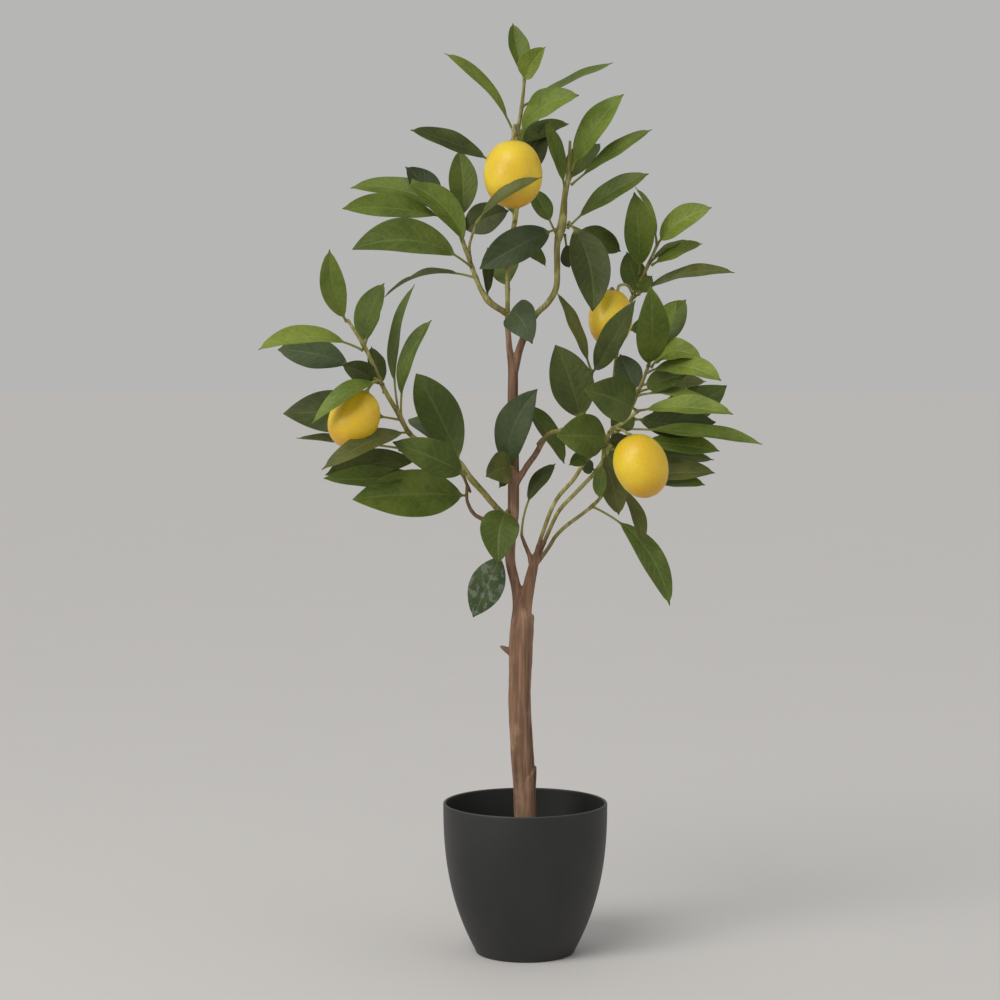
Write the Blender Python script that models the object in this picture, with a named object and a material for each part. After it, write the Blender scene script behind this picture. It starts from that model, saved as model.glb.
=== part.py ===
"""A lemon tree in a plain round pot: pot, soil, trunk, green shoots, leaves and four lemons.

Metres, +Z up. The origin is the middle of the pot's underside, and the front of the tree is
towards -Y. The plant is laid out in millimetres from its root collar, the point where the
trunk meets the roots, and one named height scales the whole plant.
"""

import math

import bmesh
import bpy
from mathutils import Matrix, Vector

# Driving dimensions, in metres.
POT_HEIGHT = 0.120
POT_RIM_RADIUS = 0.065
POT_BASE_RADIUS = 0.0385
POT_WALL = 0.003
POT_FLOOR = 0.004
POT_CURVE = 2.5  # how quickly the side swells above the foot
POT_FOOT_ROUND = 0.0015
SOIL_BELOW_RIM = 0.025
COLLAR_ABOVE_SOIL = 0.005
TRUNK_DEPTH_IN_SOIL = 0.035
PLANT_HEIGHT = 0.630  # from the root collar to the topmost leaf tip
LEAF_THICKNESS = 0.0012
LEAF_EDGE = 0.0005
PETIOLE_RADIUS = 0.0008
SHOOT_GIRTH = 0.84  # share of the drawn thickness that the green shoots are given
GAP = 0.0003  # left wherever two pieces meet
CROWN_DEPTH = 1.8  # stretch of the layout's front-to-back distances

DRAWN_HEIGHT = 630  # the same height in the layout's own millimetres
UNIT = PLANT_HEIGHT / DRAWN_HEIGHT

# How finely the round pieces are divided.
POT_SIDES = 48
TRUNK_SIDES = 14
SHOOT_SIDES = 7
LEMON_SIDES = 16
LEMON_RINGS = 10
LEAF_STATIONS = 7

TRUNK_FOOT = 8.8  # radius of the trunk in the soil, in layout millimetres

# Greens of the leaves, from the brightest young ones to the ones in deep shade.
GREENS = {
    "young": (0.150, 0.270, 0.035),
    "bright": (0.100, 0.185, 0.035),
    "mid": (0.065, 0.115, 0.025),
    "olive": (0.075, 0.095, 0.025),
    "blue": (0.040, 0.075, 0.045),
    "dark": (0.030, 0.055, 0.018),
}

# The woody frame: each branch is a list of (x, y, z, radius) from its foot to its end.
TRUNK = [
    (0, 0, 10, 9.0), (-2.5, 0, 60, 8.9), (-4.5, 0, 100, 8.9), (-3.8, 0, 140, 9.3), (-2.6, 0, 162, 9.2),
    (-4, 0, 177, 6.2), (-7.5, 0, 192, 4.0), (-12, 0, 212, 4.0), (-11.5, 1, 232, 4.3),
    (-9.5, 2, 252, 4.6), (-9.5, 2, 290, 4.6), (-10, 2, 330, 4.2), (-10, 2, 362, 3.8),
    (-12.5, 2, 378, 2.5), (-14, 3, 396, 2.2),
]
BRANCHES = [
    [(-1, 0, 162, 5.0), (1.5, 0, 183, 4.9), (4.5, 0, 200, 4.4), (7.5, 0, 212, 3.6), (9.5, 0, 219, 2.4)],
    [(6, 0, 208, 2.6), (8.5, -1, 216, 2.3), (10.5, -1.5, 225, 2.0)],
    [(7, 1, 209, 2.6), (11, 2, 218, 2.2), (15, 3, 227, 2.0)],
    [(6, 1, 207, 2.4), (11, 0, 213, 2.0), (16, -1, 219.5, 1.8)],
    [(5.5, 0, 203, 2.6), (3.5, 0, 215, 2.0), (0, 0, 224, 1.7), (-3, 0, 232, 1.5)],
    [(-8, 1, 272, 2.8), (0, -1, 285, 2.5), (8, -4, 297, 2.4), (14, -7, 308, 2.2)],
    [(-10, 1, 226, 2.4), (-22, 6, 237, 2.0), (-33, 9, 243, 1.9), (-41, 10, 248, 1.8),
     (-46, 10, 258, 1.6), (-46, 10, 270, 1.5)],
    [(-9, 1, 240, 3.4), (-18, -1, 249, 3.1)],
    [(-9, 2, 360, 3.2), (-5, 2, 377, 3.0), (0, 2, 391, 2.8)],
    [(-6, 0, 134, 4.6), (-11, -1, 139, 3.6), (-15.5, -2, 142.5, 2.2), (-19.5, -2, 144.5, 1.0)],
]

# The green shoots, in the same form. Each starts just clear of the wood or shoot it grew from.
SHOOTS = {
    "shoot_top": [
        (-14.1, 3, 397, 2.2), (-14, 3, 415, 2.2), (-14, 4, 445, 2.2), (-11, 6, 465, 2.2),
        (-7, 8, 487, 2.1), (-6, 9, 512, 2.0), (-7, 7, 540, 2.0), (-3, 4, 567, 1.7), (-1, 2, 588, 1.4),
    ],
    "shoot_upper_right": [
        (0.7, 2, 392.2, 2.8), (8, 3, 405, 2.8), (18, 5, 415, 2.8), (24, 6, 426, 2.8), (25, 8, 441, 2.9),
        (25, 9, 460, 3.0), (29, 10, 477, 4.0), (31, 10, 499, 2.6), (34, 10, 518, 2.2), (35, 10, 541, 1.2),
    ],
    "shoot_upper_left": [
        (-19.2, 3.6, 409, 3.0), (-28, 5, 415, 3.0), (-35, 8, 425, 2.4), (-40, 12, 437, 2.1),
        (-46, 16, 453, 2.0), (-52, 20, 469, 1.8), (-60, 24, 480, 1.6), (-68, 27, 488, 1.2),
    ],
    "shoot_left": [
        (-18.7, -1.2, 249.8, 3.0), (-26, -3, 258, 2.8), (-34, -6, 268, 2.8), (-42, -9, 277, 3.0),
        (-50, -12, 288, 3.0), (-59.5, -15, 298.5, 2.4), (-74, -18, 305, 2.2), (-88.5, -22, 313, 2.2),
        (-98, -26, 330, 2.1), (-109, -30, 350, 2.0), (-117, -34, 369, 1.9), (-124, -38, 384, 1.8),
        (-135, -42, 402, 1.4),
    ],
    "shoot_low_left": [
        (-46.2, 10, 271, 1.5), (-51, 8, 280, 1.5), (-64, 4, 287, 1.5), (-80, 0, 293, 1.4),
        (-99, -4, 300, 1.3),
    ],
    "shoot_centre": [
        (14.5, -7.3, 309.2, 2.2), (19.5, -8, 313.5, 2.2), (29, -9, 316, 2.2), (42, -8, 321, 2.1),
        (48, -4, 341, 1.9), (52, -2, 362, 1.5),
    ],
    "shoot_right_front": [
        (10.8, -1.6, 226, 1.9), (19, -4, 250, 1.9), (26, -7, 264, 1.9), (37, -10, 277, 1.9),
        (44.5, -13, 289.5, 1.9), (51, -15, 297.5, 1.9), (60, -18, 306, 1.9), (65.5, -19, 316, 1.9),
        (75, -22, 323, 1.9), (86, -24, 332, 1.6),
    ],
    "shoot_right_middle": [
        (15.6, 3.2, 228, 1.9), (26, 4, 250, 1.9), (39, 6, 264, 1.9), (47, 8, 272, 1.9),
        (58, 9, 284, 1.9), (66, 10, 299, 1.9), (76, 10, 319, 1.9), (84, 8, 334, 2.4), (88, 6, 343, 1.8),
        (93, 5, 355, 1.6), (99, 4, 372, 1.3),
    ],
    "shoot_right_low": [
        (17, -1.2, 220.9, 1.8), (19.5, -0.5, 224.5, 1.8), (24, 3, 231, 1.8), (32, 8, 238, 1.8),
        (45, 12, 247, 1.7), (53, 14, 253, 1.7), (60, 15, 260, 1.6), (70, 15, 274, 1.3),
    ],
    "shoot_far_right": [
        (69.5, 14, 309, 1.8), (70, 22, 326, 1.8), (72, 30, 357, 1.8), (76.5, 33, 389, 1.8),
        (84.5, 29, 415, 1.8), (91, 24, 430, 1.7), (97, 20, 443, 1.6), (104.5, 16, 460.5, 1.3),
    ],
}

# Each lemon: middle, width, length, the top end's direction, and its stalk's (x, y, z) points.
LEMONS = {
    "lemon_top": ((-10, -20, 513), 45, 52, (0.0, 0.0, 1.0),
                  [(-7, 4.4, 546), (-8, -5, 552), (-10, -17, 548), (-10, -20, 541)]),
    "lemon_left": ((-131, -39, 327), 38, 46, (0.43, 0.0, 0.90),
                   [(-110.5, -32.8, 354), (-113, -35, 356), (-117, -38, 354), (-121, -39, 348)]),
    "lemon_upper_right": ((67, 8, 402.5), 35, 45, (0.05, 0.0, 1.0),
                          [(86.5, 25.2, 420), (81, 16, 428), (74, 9, 428), (72, 8, 422)]),
    "lemon_lower_right": ((87.5, -36, 291), 41, 49.5, (-0.35, 0.0, 0.94),
                          [(64.5, -20.6, 316), (67, -28, 319.5), (74, -35, 318), (79, -36, 313.5)]),
}

# Each leaf: where its stalk leaves the shoot, its tip, its width, the turn of its upper face
# (0 faces the front, 90 faces up), the bulge of its middle upward and forward, the fold along
# its midrib, the length of its stalk, and its green.
LEAVES = {
    "leaf_top_1": ((-1, 2, 588), (-10, 12, 633), 20, 25, -1, 0, 30, 3, "bright"),
    "leaf_top_2": ((-1, 2, 588), (15, -12, 611), 21, 20, 2, 2, 30, 2, "young"),
    "leaf_top_3": ((-7, 7, 541), (-63, -8, 607), 16, 55, 8, 3, 16, 16, "young"),
    "leaf_top_4": ((-3, 4, 567), (69, 16, 603), 21, 72, 2, 0, 12, 8, "bright"),
    "leaf_top_5": ((-5, 7, 543), (41, -12, 574), 27, 42, 9, 3, 20, 6, "bright"),
    "leaf_top_6": ((-6, 9, 513), (-90, 2, 549), 20, 36, 4, 2, 22, 28, "dark"),
    "leaf_middle_1": ((26, 9, 473), (-36, 1, 441), 29, 14, 2, 8, 16, 8, "blue"),
    "leaf_middle_2": ((-14, 3, 405), (5, -16, 383), 28, 0, 6, 10, 10, 4, "blue"),
    "leaf_upper_right_1": ((31, 10, 502), (15, 2, 556), 14, 30, 2, 2, 20, 6, "bright"),
    "leaf_upper_right_2": ((36, 10, 518), (76, -4, 576), 25, 34, 4, 3, 16, 6, "bright"),
    "leaf_upper_right_3": ((36, 10, 507), (98, -2, 549), 17, 50, 2, 2, 18, 10, "bright"),
    "leaf_upper_right_4": ((33, 10, 473), (96, 0, 515), 22, 45, 4, 3, 16, 12, "mid"),
    "leaf_upper_right_5": ((34, 9, 478), (52, -5, 408), 32, 8, 7, 6, 14, 8, "dark"),
    "leaf_upper_left_1": ((-50, 18, 464), (-140, 35, 506), 25, 46, 17, -8, 16, 18, "bright"),
    "leaf_upper_left_2": ((-61, 24, 481), (-143.5, 4, 488), 26, 40, 4, 4, 16, 10, "bright"),
    "leaf_upper_left_3": ((-42, 13, 442), (-135, -4, 456), 36, 40, 14, 6, 16, 16, "mid"),
    "leaf_upper_left_4": ((-39, 11, 434), (-112, 24, 419), 22, 80, 11, 2, 10, 12, "olive"),
    "leaf_left_1": ((-136, -42, 401), (-147, -56, 455), 20, 10, -4, 3, 16, 3, "bright"),
    "leaf_left_2": ((-124, -38, 383), (-108, -32, 430), 23, 28, 3, 0, 16, 3, "mid"),
    "leaf_left_3": ((-124, -38, 379), (-201, -54, 380), 20, 46, 10, 2, 14, 13, "young"),
    "leaf_left_4": ((-113, -33, 356), (-190, -28, 379), 26, 16, 6, 2, 14, 25, "blue"),
    "leaf_left_5": ((-97, -26, 328), (-86, -14, 429), 20, 60, 9, 2, 14, 24, "mid"),
    "leaf_left_6": ((-95.5, -25, 324), (-72, -32, 402), 20, 52, 8, 2, 16, 18, "mid"),
    "leaf_left_7": ((-51, -12, 290), (-86, 6, 359), 34, 12, 2, 2, 14, 4, "mid"),
    "leaf_left_8": ((-96, -25, 325), (-188, -14, 329), 35, 18, 3, -2, 14, 14, "dark"),
    "leaf_left_9": ((-46, 10, 262), (-134, -20, 263), 39, 14, 3, 6, 12, 5, "bright"),
    "leaf_low_1": ((-14, -1, 252), (-21, -18, 213), 31, 0, 4, 8, 10, 3, "mid"),
    "leaf_low_2": ((-13, 0, 229), (-41, -8, 169), 28, 2, 1, 4, 10, 16, "blue"),
    "leaf_centre_1": ((-11, 2, 276), (9, -12, 348), 31, 28, 10, 5, 16, 10, "blue"),
    "leaf_centre_2": ((-10, 2, 341), (31, 12, 287), 22, 48, 4, -3, 16, 10, "mid"),
    "leaf_right_1": ((91, 23, 437), (85, 4, 501), 25, 8, 1, 5, 14, 8, "bright"),
    "leaf_right_2": ((104.5, 16, 460.5), (146, 6, 489), 24, 35, 5, 3, 14, 4, "young"),
    "leaf_right_3": ((86.5, 28, 418), (164, 4, 438), 20, 64, 9, 2, 12, 12, "olive"),
    "leaf_right_4": ((51, -2, 358), (83, -34, 417), 23, 30, 0, 10, 16, 9, "dark"),
    "leaf_right_5": ((43, -8, 322), (23, -8, 382), 35, 10, 2, 3, 12, 4, "dark"),
    "leaf_right_6": ((84, -23, 333), (43, -48, 350), 35, 12, 2, 4, 14, 5, "mid"),
    "leaf_right_7": ((96, 4, 365), (95, -26, 428), 27, 8, 2, 9, 14, 4, "bright"),
    "leaf_right_8": ((96, 4, 360), (150, -24, 355), 25, 50, 8, 3, 14, 7, "young"),
    "leaf_right_9": ((86, -24, 332), (156, -46, 331), 23, 52, 4, 2, 14, 6, "young"),
    "leaf_right_10": ((74, 10, 315), (184, -12, 305), 22, 60, 3, 0, 12, 24, "bright"),
    "leaf_right_11": ((64, -18, 311), (23, -36, 314), 34, 10, 1, 4, 12, 4, "mid"),
    "leaf_hanging_1": ((60, -17, 303.5), (73, -6, 249), 22, 8, 1, -1, 12, 6, "olive"),
    "leaf_hanging_2": ((53, 14, 253), (114, 2, 176), 20, 12, 13, 3, 12, 22, "mid"),
}

FRONT = Vector((0, -1, 0))


def clear_scene():
    for thing in list(bpy.data.objects):
        bpy.data.objects.remove(thing)


def material(name, colour, roughness):
    """A plain Principled material, made once for each name."""
    if name in bpy.data.materials:
        return bpy.data.materials[name]
    made = bpy.data.materials.new(name)
    made.use_nodes = True
    shader = made.node_tree.nodes["Principled BSDF"]
    shader.inputs["Base Color"].default_value = (*colour, 1.0)
    shader.inputs["Roughness"].default_value = roughness
    shader.inputs["Metallic"].default_value = 0.0
    return made


def add_object(name, bm, finish, parent=None, smooth=True):
    """Turn a bmesh into a named object with outward faces."""
    bmesh.ops.recalc_face_normals(bm, faces=bm.faces)
    mesh = bpy.data.meshes.new(name)
    bm.to_mesh(mesh)
    bm.free()
    if smooth:
        mesh.shade_smooth()
        mesh.set_sharp_from_angle(angle=math.radians(40))
    thing = bpy.data.objects.new(name, mesh)
    mesh.materials.append(finish)
    bpy.context.collection.objects.link(thing)
    thing.parent = parent
    return thing


def smooth_line(points, steps):
    """Points along a Catmull-Rom curve through tuples of any length, the ends included."""
    rows = [points[0], *points, points[-1]]
    line = []
    for before, start, end, after in zip(rows, rows[1:], rows[2:], rows[3:]):
        for k in range(steps):
            t = k / steps
            weights = (
                -0.5 * t + t**2 - 0.5 * t**3,
                1 - 2.5 * t**2 + 1.5 * t**3,
                0.5 * t + 2 * t**2 - 1.5 * t**3,
                -0.5 * t**2 + 0.5 * t**3,
            )
            corners = zip(before, start, end, after)
            line.append(tuple(sum(w * c for w, c in zip(weights, cs)) for cs in corners))
    line.append(tuple(points[-1]))
    return line


def across(centres):
    """A pair of directions square to the line at each point, without twist along it."""
    pairs = []
    side = None
    for k, here in enumerate(centres):
        ahead = centres[min(k + 1, len(centres) - 1)] - centres[max(k - 1, 0)]
        ahead.normalize()
        if side is None:
            side = ahead.cross(FRONT).normalized()
        side = (side - ahead * side.dot(ahead)).normalized()
        pairs.append((side, ahead.cross(side)))
    return pairs


def skin_rings(bm, rings, closed_ends=True):
    """Join rings of vertices into a tube, with a face over each end."""
    for low, high in zip(rings, rings[1:]):
        for k in range(len(low)):
            n = (k + 1) % len(low)
            bm.faces.new((low[k], low[n], high[n], high[k]))
    if closed_ends:
        bm.faces.new(rings[0][::-1])
        bm.faces.new(rings[-1])


def tube(bm, line, sides, ridge=0.0):
    """A round tube along (x, y, z, radius) rows in metres; ridge roughens it like bark."""
    centres = [Vector(row[:3]) for row in line]
    rings = []
    for k, (side, up) in enumerate(across(centres)):
        ring = []
        for j in range(sides):
            angle = math.tau * j / sides
            swell = 1 + ridge * math.sin(3 * angle + 0.9 * k) * math.sin(2 * angle - 1.3 * k)
            reach = side * math.cos(angle) + up * math.sin(angle)
            ring.append(bm.verts.new(centres[k] + reach * line[k][3] * swell))
        rings.append(ring)
    skin_rings(bm, rings)


def lathe(bm, profile, sides):
    """Turn a closed (radius, z) outline that starts and ends on the axis about +Z."""
    bottom = bm.verts.new((0, 0, profile[0][1]))
    top = bm.verts.new((0, 0, profile[-1][1]))
    rings = []
    for radius, z in profile[1:-1]:
        ring = []
        for j in range(sides):
            angle = math.tau * j / sides
            ring.append(bm.verts.new((radius * math.cos(angle), radius * math.sin(angle), z)))
        rings.append(ring)
    skin_rings(bm, rings, closed_ends=False)
    for j in range(sides):
        n = (j + 1) % sides
        bm.faces.new((bottom, rings[0][n], rings[0][j]))
        bm.faces.new((top, rings[-1][j], rings[-1][n]))


def in_metres(rows):
    """Layout rows of (x, y, z, sizes...) as metres at the chosen height and crown depth."""
    return [tuple(v * UNIT * (CROWN_DEPTH if k == 1 else 1) for k, v in enumerate(row)) for row in rows]


def pot_radius(z):
    """Radius of the pot's outside at height z."""
    share = 1 - (1 - z / POT_HEIGHT) ** POT_CURVE
    return POT_BASE_RADIUS + (POT_RIM_RADIUS - POT_BASE_RADIUS) * share


def heights(low, high, count):
    return [low + (high - low) * k / count for k in range(count + 1)]


def build_pot(finish):
    """A thin-walled cup with a flat underside and a softly rounded rim."""
    lip = POT_WALL / 3
    profile = [(0, 0), (pot_radius(0) - POT_FOOT_ROUND, 0)]
    for z in heights(POT_FOOT_ROUND, POT_HEIGHT - lip, 9):
        profile.append((pot_radius(z), z))
    profile.append((POT_RIM_RADIUS - lip, POT_HEIGHT))
    profile.append((POT_RIM_RADIUS - POT_WALL + lip, POT_HEIGHT))
    for z in heights(POT_HEIGHT - lip, POT_FLOOR, 9):
        profile.append((pot_radius(z) - POT_WALL, z))
    profile.append((0, POT_FLOOR))
    bm = bmesh.new()
    lathe(bm, profile, POT_SIDES)
    return add_object("pot", bm, finish)


def build_soil(finish):
    """Compost that fills the pot and leaves a pocket for the foot of the trunk."""
    top = POT_HEIGHT - SOIL_BELOW_RIM
    pocket = TRUNK_FOOT * UNIT + 2 * GAP
    pocket_floor = top - TRUNK_DEPTH_IN_SOIL - GAP
    profile = [(0, POT_FLOOR + GAP)]
    for z in heights(POT_FLOOR + GAP, top, 7):
        profile.append((pot_radius(z) - POT_WALL - 2 * GAP, z))
    profile.append((pocket, top))
    profile.append((pocket, pocket_floor))
    profile.append((0, pocket_floor))
    bm = bmesh.new()
    lathe(bm, profile, POT_SIDES)
    return add_object("soil", bm, finish)


def unite(base, others):
    """Union the other meshes into the base, as modifiers that stay live."""
    for other in others:
        other.hide_render = True
        other.display_type = "WIRE"
        join = base.modifiers.new("union " + other.name, "BOOLEAN")
        join.operation = "UNION"
        join.solver = "EXACT"
        join.object = other


def build_trunk(plant, finish):
    """The trunk with its woody branches, one solid that ends in a plain foot in the soil."""
    soil_level = -COLLAR_ABOVE_SOIL
    foot = TRUNK_FOOT * UNIT
    line = [
        (0, 0, soil_level - TRUNK_DEPTH_IN_SOIL, foot * 0.9),
        (0, 0, soil_level - TRUNK_DEPTH_IN_SOIL * 0.5, foot),
        (0, 0, soil_level + GAP, foot),
    ]
    line += smooth_line(in_metres(TRUNK), 2)
    bm = bmesh.new()
    tube(bm, line, TRUNK_SIDES)
    trunk = add_object("trunk", bm, finish, plant)
    limbs = []
    for k, branch in enumerate(BRANCHES):
        bm = bmesh.new()
        tube(bm, smooth_line(in_metres(branch), 2), SHOOT_SIDES)
        limbs.append(add_object("limb_%d" % (k + 1), bm, finish, plant))
    unite(trunk, limbs)
    return trunk


def build_shoots(plant, finish):
    """Every green shoot. Returns their centre lines as (x, y, z, radius) rows in metres."""
    lines = []
    for name, rows in SHOOTS.items():
        line = [(*row[:3], row[3] * SHOOT_GIRTH) for row in smooth_line(in_metres(rows), 2)]
        bm = bmesh.new()
        tube(bm, line, SHOOT_SIDES)
        add_object(name, bm, finish, plant)
        lines.append(line)
    return lines


def lemon_profile(width, length):
    """(radius, height) rows of a lemon from its tip to its stalk end, about its middle."""
    rows = [(0, -length / 2)]
    for k in range(1, LEMON_RINGS):
        angle = math.pi * k / LEMON_RINGS
        body = math.sin(angle) ** 0.92
        height = -math.cos(angle)
        nipple = 0.10 * math.exp(-((1 + height) * 9) ** 2)
        rows.append((width / 2 * (body - nipple * body), length / 2 * height * (1 - 0.02 * body)))
    rows.append((0, length / 2))
    return rows


def build_lemon(name, row, plant, finish):
    """One fruit with its own short stalk, as a single solid."""
    middle, width, length, up, stalk = row
    middle = Vector((middle[0], middle[1] * CROWN_DEPTH, middle[2]))
    bm = bmesh.new()
    profile = [(r * UNIT, z * UNIT) for r, z in lemon_profile(width, length)]
    lathe(bm, profile, LEMON_SIDES)
    turn = Vector(up).to_track_quat("Z", "Y").to_matrix().to_4x4()
    place = Matrix.Translation(middle * UNIT)
    bm.transform(place @ turn)
    fruit = add_object(name, bm, finish, plant)
    bm = bmesh.new()
    root = middle + Vector(up).normalized() * (length / 2 - 3)
    rows = in_metres([(*point, 1.4) for point in stalk]) + [(*(root * UNIT), 1.6 * UNIT)]
    tube(bm, smooth_line(rows, 2), SHOOT_SIDES)
    unite(fruit, [add_object(name + "_stalk", bm, finish, plant)])


def leaf_frame(base, tip, turn):
    """The leaf's length direction, upward and forward bulge directions, and upper face."""
    along = (tip - base).normalized()
    forward = (FRONT - along * FRONT.dot(along)).normalized()
    upward = along.cross(forward)
    if upward.z < 0:
        upward = -upward
    angle = math.radians(turn)
    return upward, forward, forward * math.cos(angle) + upward * math.sin(angle)


def leaf_spine(row):
    """The midrib's point as a function of t, the way the blade faces, and its length."""
    base, tip = (Vector(end) for end in in_metres(row[:2]))
    turn, rise, out = row[3], row[4] * UNIT, row[5] * UNIT
    upward, forward, face = leaf_frame(base, tip, turn)

    def point(t):
        bulge = 4 * t * (1 - t)
        return base.lerp(tip, t) + upward * rise * bulge + forward * out * bulge

    return point, face, (tip - base).length


def clear_start(point, wood):
    """The least t at which a petiole stands clear of every stem near the leaf's foot."""
    for k in range(60):
        t = k / 150
        here = point(t)
        if all((here - Vector(row[:3])).length > row[3] + PETIOLE_RADIUS * 1.5 + GAP for row in wood):
            return t
    return 0.4


def leaf_half_width(share, width, length):
    """Half the blade's width at a share of its length. Slim leaves taper more towards the stalk."""
    slim = min(max((0.50 - width / length) / 0.22, 0.0), 1.0)
    foot = 0.78 + 0.27 * slim
    peak = foot / (foot + 0.95)
    return width / 2 * (share / peak) ** foot * ((1 - share) / (1 - peak)) ** 0.95


def build_leaf(name, row, wood, plant, finish):
    """A thin closed blade on a short petiole, folded along its midrib."""
    width, fold, stalk = row[2] * UNIT, math.radians(row[6]), row[7] * UNIT
    point, face, length = leaf_spine(row)
    start = clear_start(point, wood)
    blade = max(stalk / length, start + 0.03)
    stations = [(start, 0), ((start + blade) / 2, 0)]
    for k in range(LEAF_STATIONS + 1):
        share = k / LEAF_STATIONS
        stations.append((blade + (1 - blade) * share, leaf_half_width(share, width, length)))
    bm = bmesh.new()
    rings = []
    for t, half in stations:
        here = point(t)
        ahead = (point(t + 0.01) - point(t - 0.01)).normalized()
        up = (face - ahead * face.dot(ahead)).normalized()
        side = up.cross(ahead)
        half = max(half, PETIOLE_RADIUS)
        edge = side * half * math.cos(fold)
        lift = up * (half - PETIOLE_RADIUS) * math.sin(fold)
        thick = up * LEAF_THICKNESS / 2
        thin = up * LEAF_EDGE / 2
        ring = [
            here + thick,
            here + edge + lift + thin,
            here + edge + lift - thin,
            here - thick,
            here - edge + lift - thin,
            here - edge + lift + thin,
        ]
        rings.append([bm.verts.new(corner) for corner in ring])
    skin_rings(bm, rings)
    add_object(name, bm, finish, plant)


def fine_line(line):
    """The same line with extra rows between, for measuring distances to it."""
    rows = []
    for a, b in zip(line, line[1:]):
        for k in range(4):
            rows.append(tuple(p + (q - p) * k / 4 for p, q in zip(a, b)))
    rows.append(line[-1])
    return rows


def main():
    clear_scene()
    plastic = material("pot_plastic", (0.026, 0.027, 0.025), 0.5)
    compost = material("soil_compost", (0.030, 0.018, 0.010), 0.95)
    bark = material("trunk_bark", (0.150, 0.075, 0.040), 0.85)
    green_bark = material("shoot_bark", (0.270, 0.260, 0.080), 0.6)
    peel = material("lemon_peel", (0.900, 0.620, 0.030), 0.4)

    plant = bpy.data.objects.new("plant", None)
    plant.location.z = POT_HEIGHT - SOIL_BELOW_RIM + COLLAR_ABOVE_SOIL
    bpy.context.collection.objects.link(plant)

    build_pot(plastic)
    build_soil(compost)
    build_trunk(plant, bark)
    wood = []
    for line in build_shoots(plant, green_bark):
        wood += fine_line(line)
    for branch in [TRUNK, *BRANCHES]:
        wood += fine_line(smooth_line(in_metres(branch), 2))
    for name, row in LEMONS.items():
        build_lemon(name, row, plant, peel)
    for name, row in LEAVES.items():
        finish = material("leaf_" + row[8], GREENS[row[8]], 0.45)
        build_leaf(name, row, wood, plant, finish)


main()
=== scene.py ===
import math
import random

import bmesh
import bpy
from mathutils import Matrix, Vector, noise


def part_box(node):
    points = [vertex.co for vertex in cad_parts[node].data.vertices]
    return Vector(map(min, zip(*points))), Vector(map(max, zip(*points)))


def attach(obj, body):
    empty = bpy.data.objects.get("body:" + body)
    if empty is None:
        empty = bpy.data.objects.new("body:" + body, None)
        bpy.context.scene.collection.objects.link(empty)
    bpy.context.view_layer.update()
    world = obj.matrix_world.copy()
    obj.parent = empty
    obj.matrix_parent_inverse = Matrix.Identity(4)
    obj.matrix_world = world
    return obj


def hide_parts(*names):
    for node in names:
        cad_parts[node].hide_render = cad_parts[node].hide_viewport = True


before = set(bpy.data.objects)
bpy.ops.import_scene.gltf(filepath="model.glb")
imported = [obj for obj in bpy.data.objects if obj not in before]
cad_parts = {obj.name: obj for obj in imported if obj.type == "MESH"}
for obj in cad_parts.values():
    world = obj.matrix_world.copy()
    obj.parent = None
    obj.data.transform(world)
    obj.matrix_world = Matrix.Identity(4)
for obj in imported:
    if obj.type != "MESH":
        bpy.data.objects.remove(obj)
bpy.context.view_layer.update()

# Lengths are in metres. The plant is laid out in millimetres from its root collar, with the
# front-to-back distances stretched by the depth of the crown.
MM = 0.001
CROWN_DEPTH = 1.8
COLLAR_ABOVE_SOIL = 5 * MM
SOIL_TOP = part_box("soil")[1].z
SOIL_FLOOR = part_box("soil")[0].z
COLLAR = SOIL_TOP + COLLAR_ABOVE_SOIL
POT_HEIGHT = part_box("pot")[1].z
POT_RIM_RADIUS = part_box("pot")[1].x
POT_BASE_RADIUS = 38.5 * MM
POT_CURVE = 2.5
POT_WALL = 3 * MM
POT_FLOOR = 4 * MM
SOIL_GAP = 0.4 * MM
SHOOT_GIRTH = 0.84
FRONT = Vector((0, -1, 0))

# The woody frame: each branch is a list of (x, y, z, radius) from its foot to its end.
TRUNK = [
    (0, 0, 10, 9.0), (-2.5, 0, 60, 8.9), (-4.5, 0, 100, 8.9), (-3.8, 0, 140, 9.3), (-2.6, 0, 162, 9.2),
    (-4, 0, 177, 6.2), (-7.5, 0, 192, 4.0), (-12, 0, 212, 4.0), (-11.5, 1, 232, 4.3),
    (-9.5, 2, 252, 4.6), (-9.5, 2, 290, 4.6), (-10, 2, 330, 4.2), (-10, 2, 362, 3.8),
    (-12.5, 2, 378, 2.5), (-14, 3, 396, 2.2),
]
BRANCHES = [
    [(-1, 0, 162, 5.0), (1.5, 0, 183, 4.9), (4.5, 0, 200, 4.4), (7.5, 0, 212, 3.6), (9.5, 0, 219, 2.4)],
    [(6, 0, 208, 2.6), (8.5, -1, 216, 2.3), (10.5, -1.5, 225, 2.0)],
    [(7, 1, 209, 2.6), (11, 2, 218, 2.2), (15, 3, 227, 2.0)],
    [(6, 1, 207, 2.4), (11, 0, 213, 2.0), (16, -1, 219.5, 1.8)],
    [(5.5, 0, 203, 2.6), (3.5, 0, 215, 2.0), (0, 0, 224, 1.7), (-3, 0, 232, 1.5)],
    [(-8, 1, 272, 2.8), (0, -1, 285, 2.5), (8, -4, 297, 2.4), (14, -7, 308, 2.2)],
    [(-10, 1, 226, 2.4), (-22, 6, 237, 2.0), (-33, 9, 243, 1.9), (-41, 10, 248, 1.8),
     (-46, 10, 258, 1.6), (-46, 10, 270, 1.5)],
    [(-9, 1, 240, 3.4), (-18, -1, 249, 3.1)],
    [(-9, 2, 360, 3.2), (-5, 2, 377, 3.0), (0, 2, 391, 2.8)],
    [(-6, 0, 134, 4.6), (-11, -1, 139, 3.6), (-15.5, -2, 142.5, 2.2), (-19.5, -2, 144.5, 1.0)],
]

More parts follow.
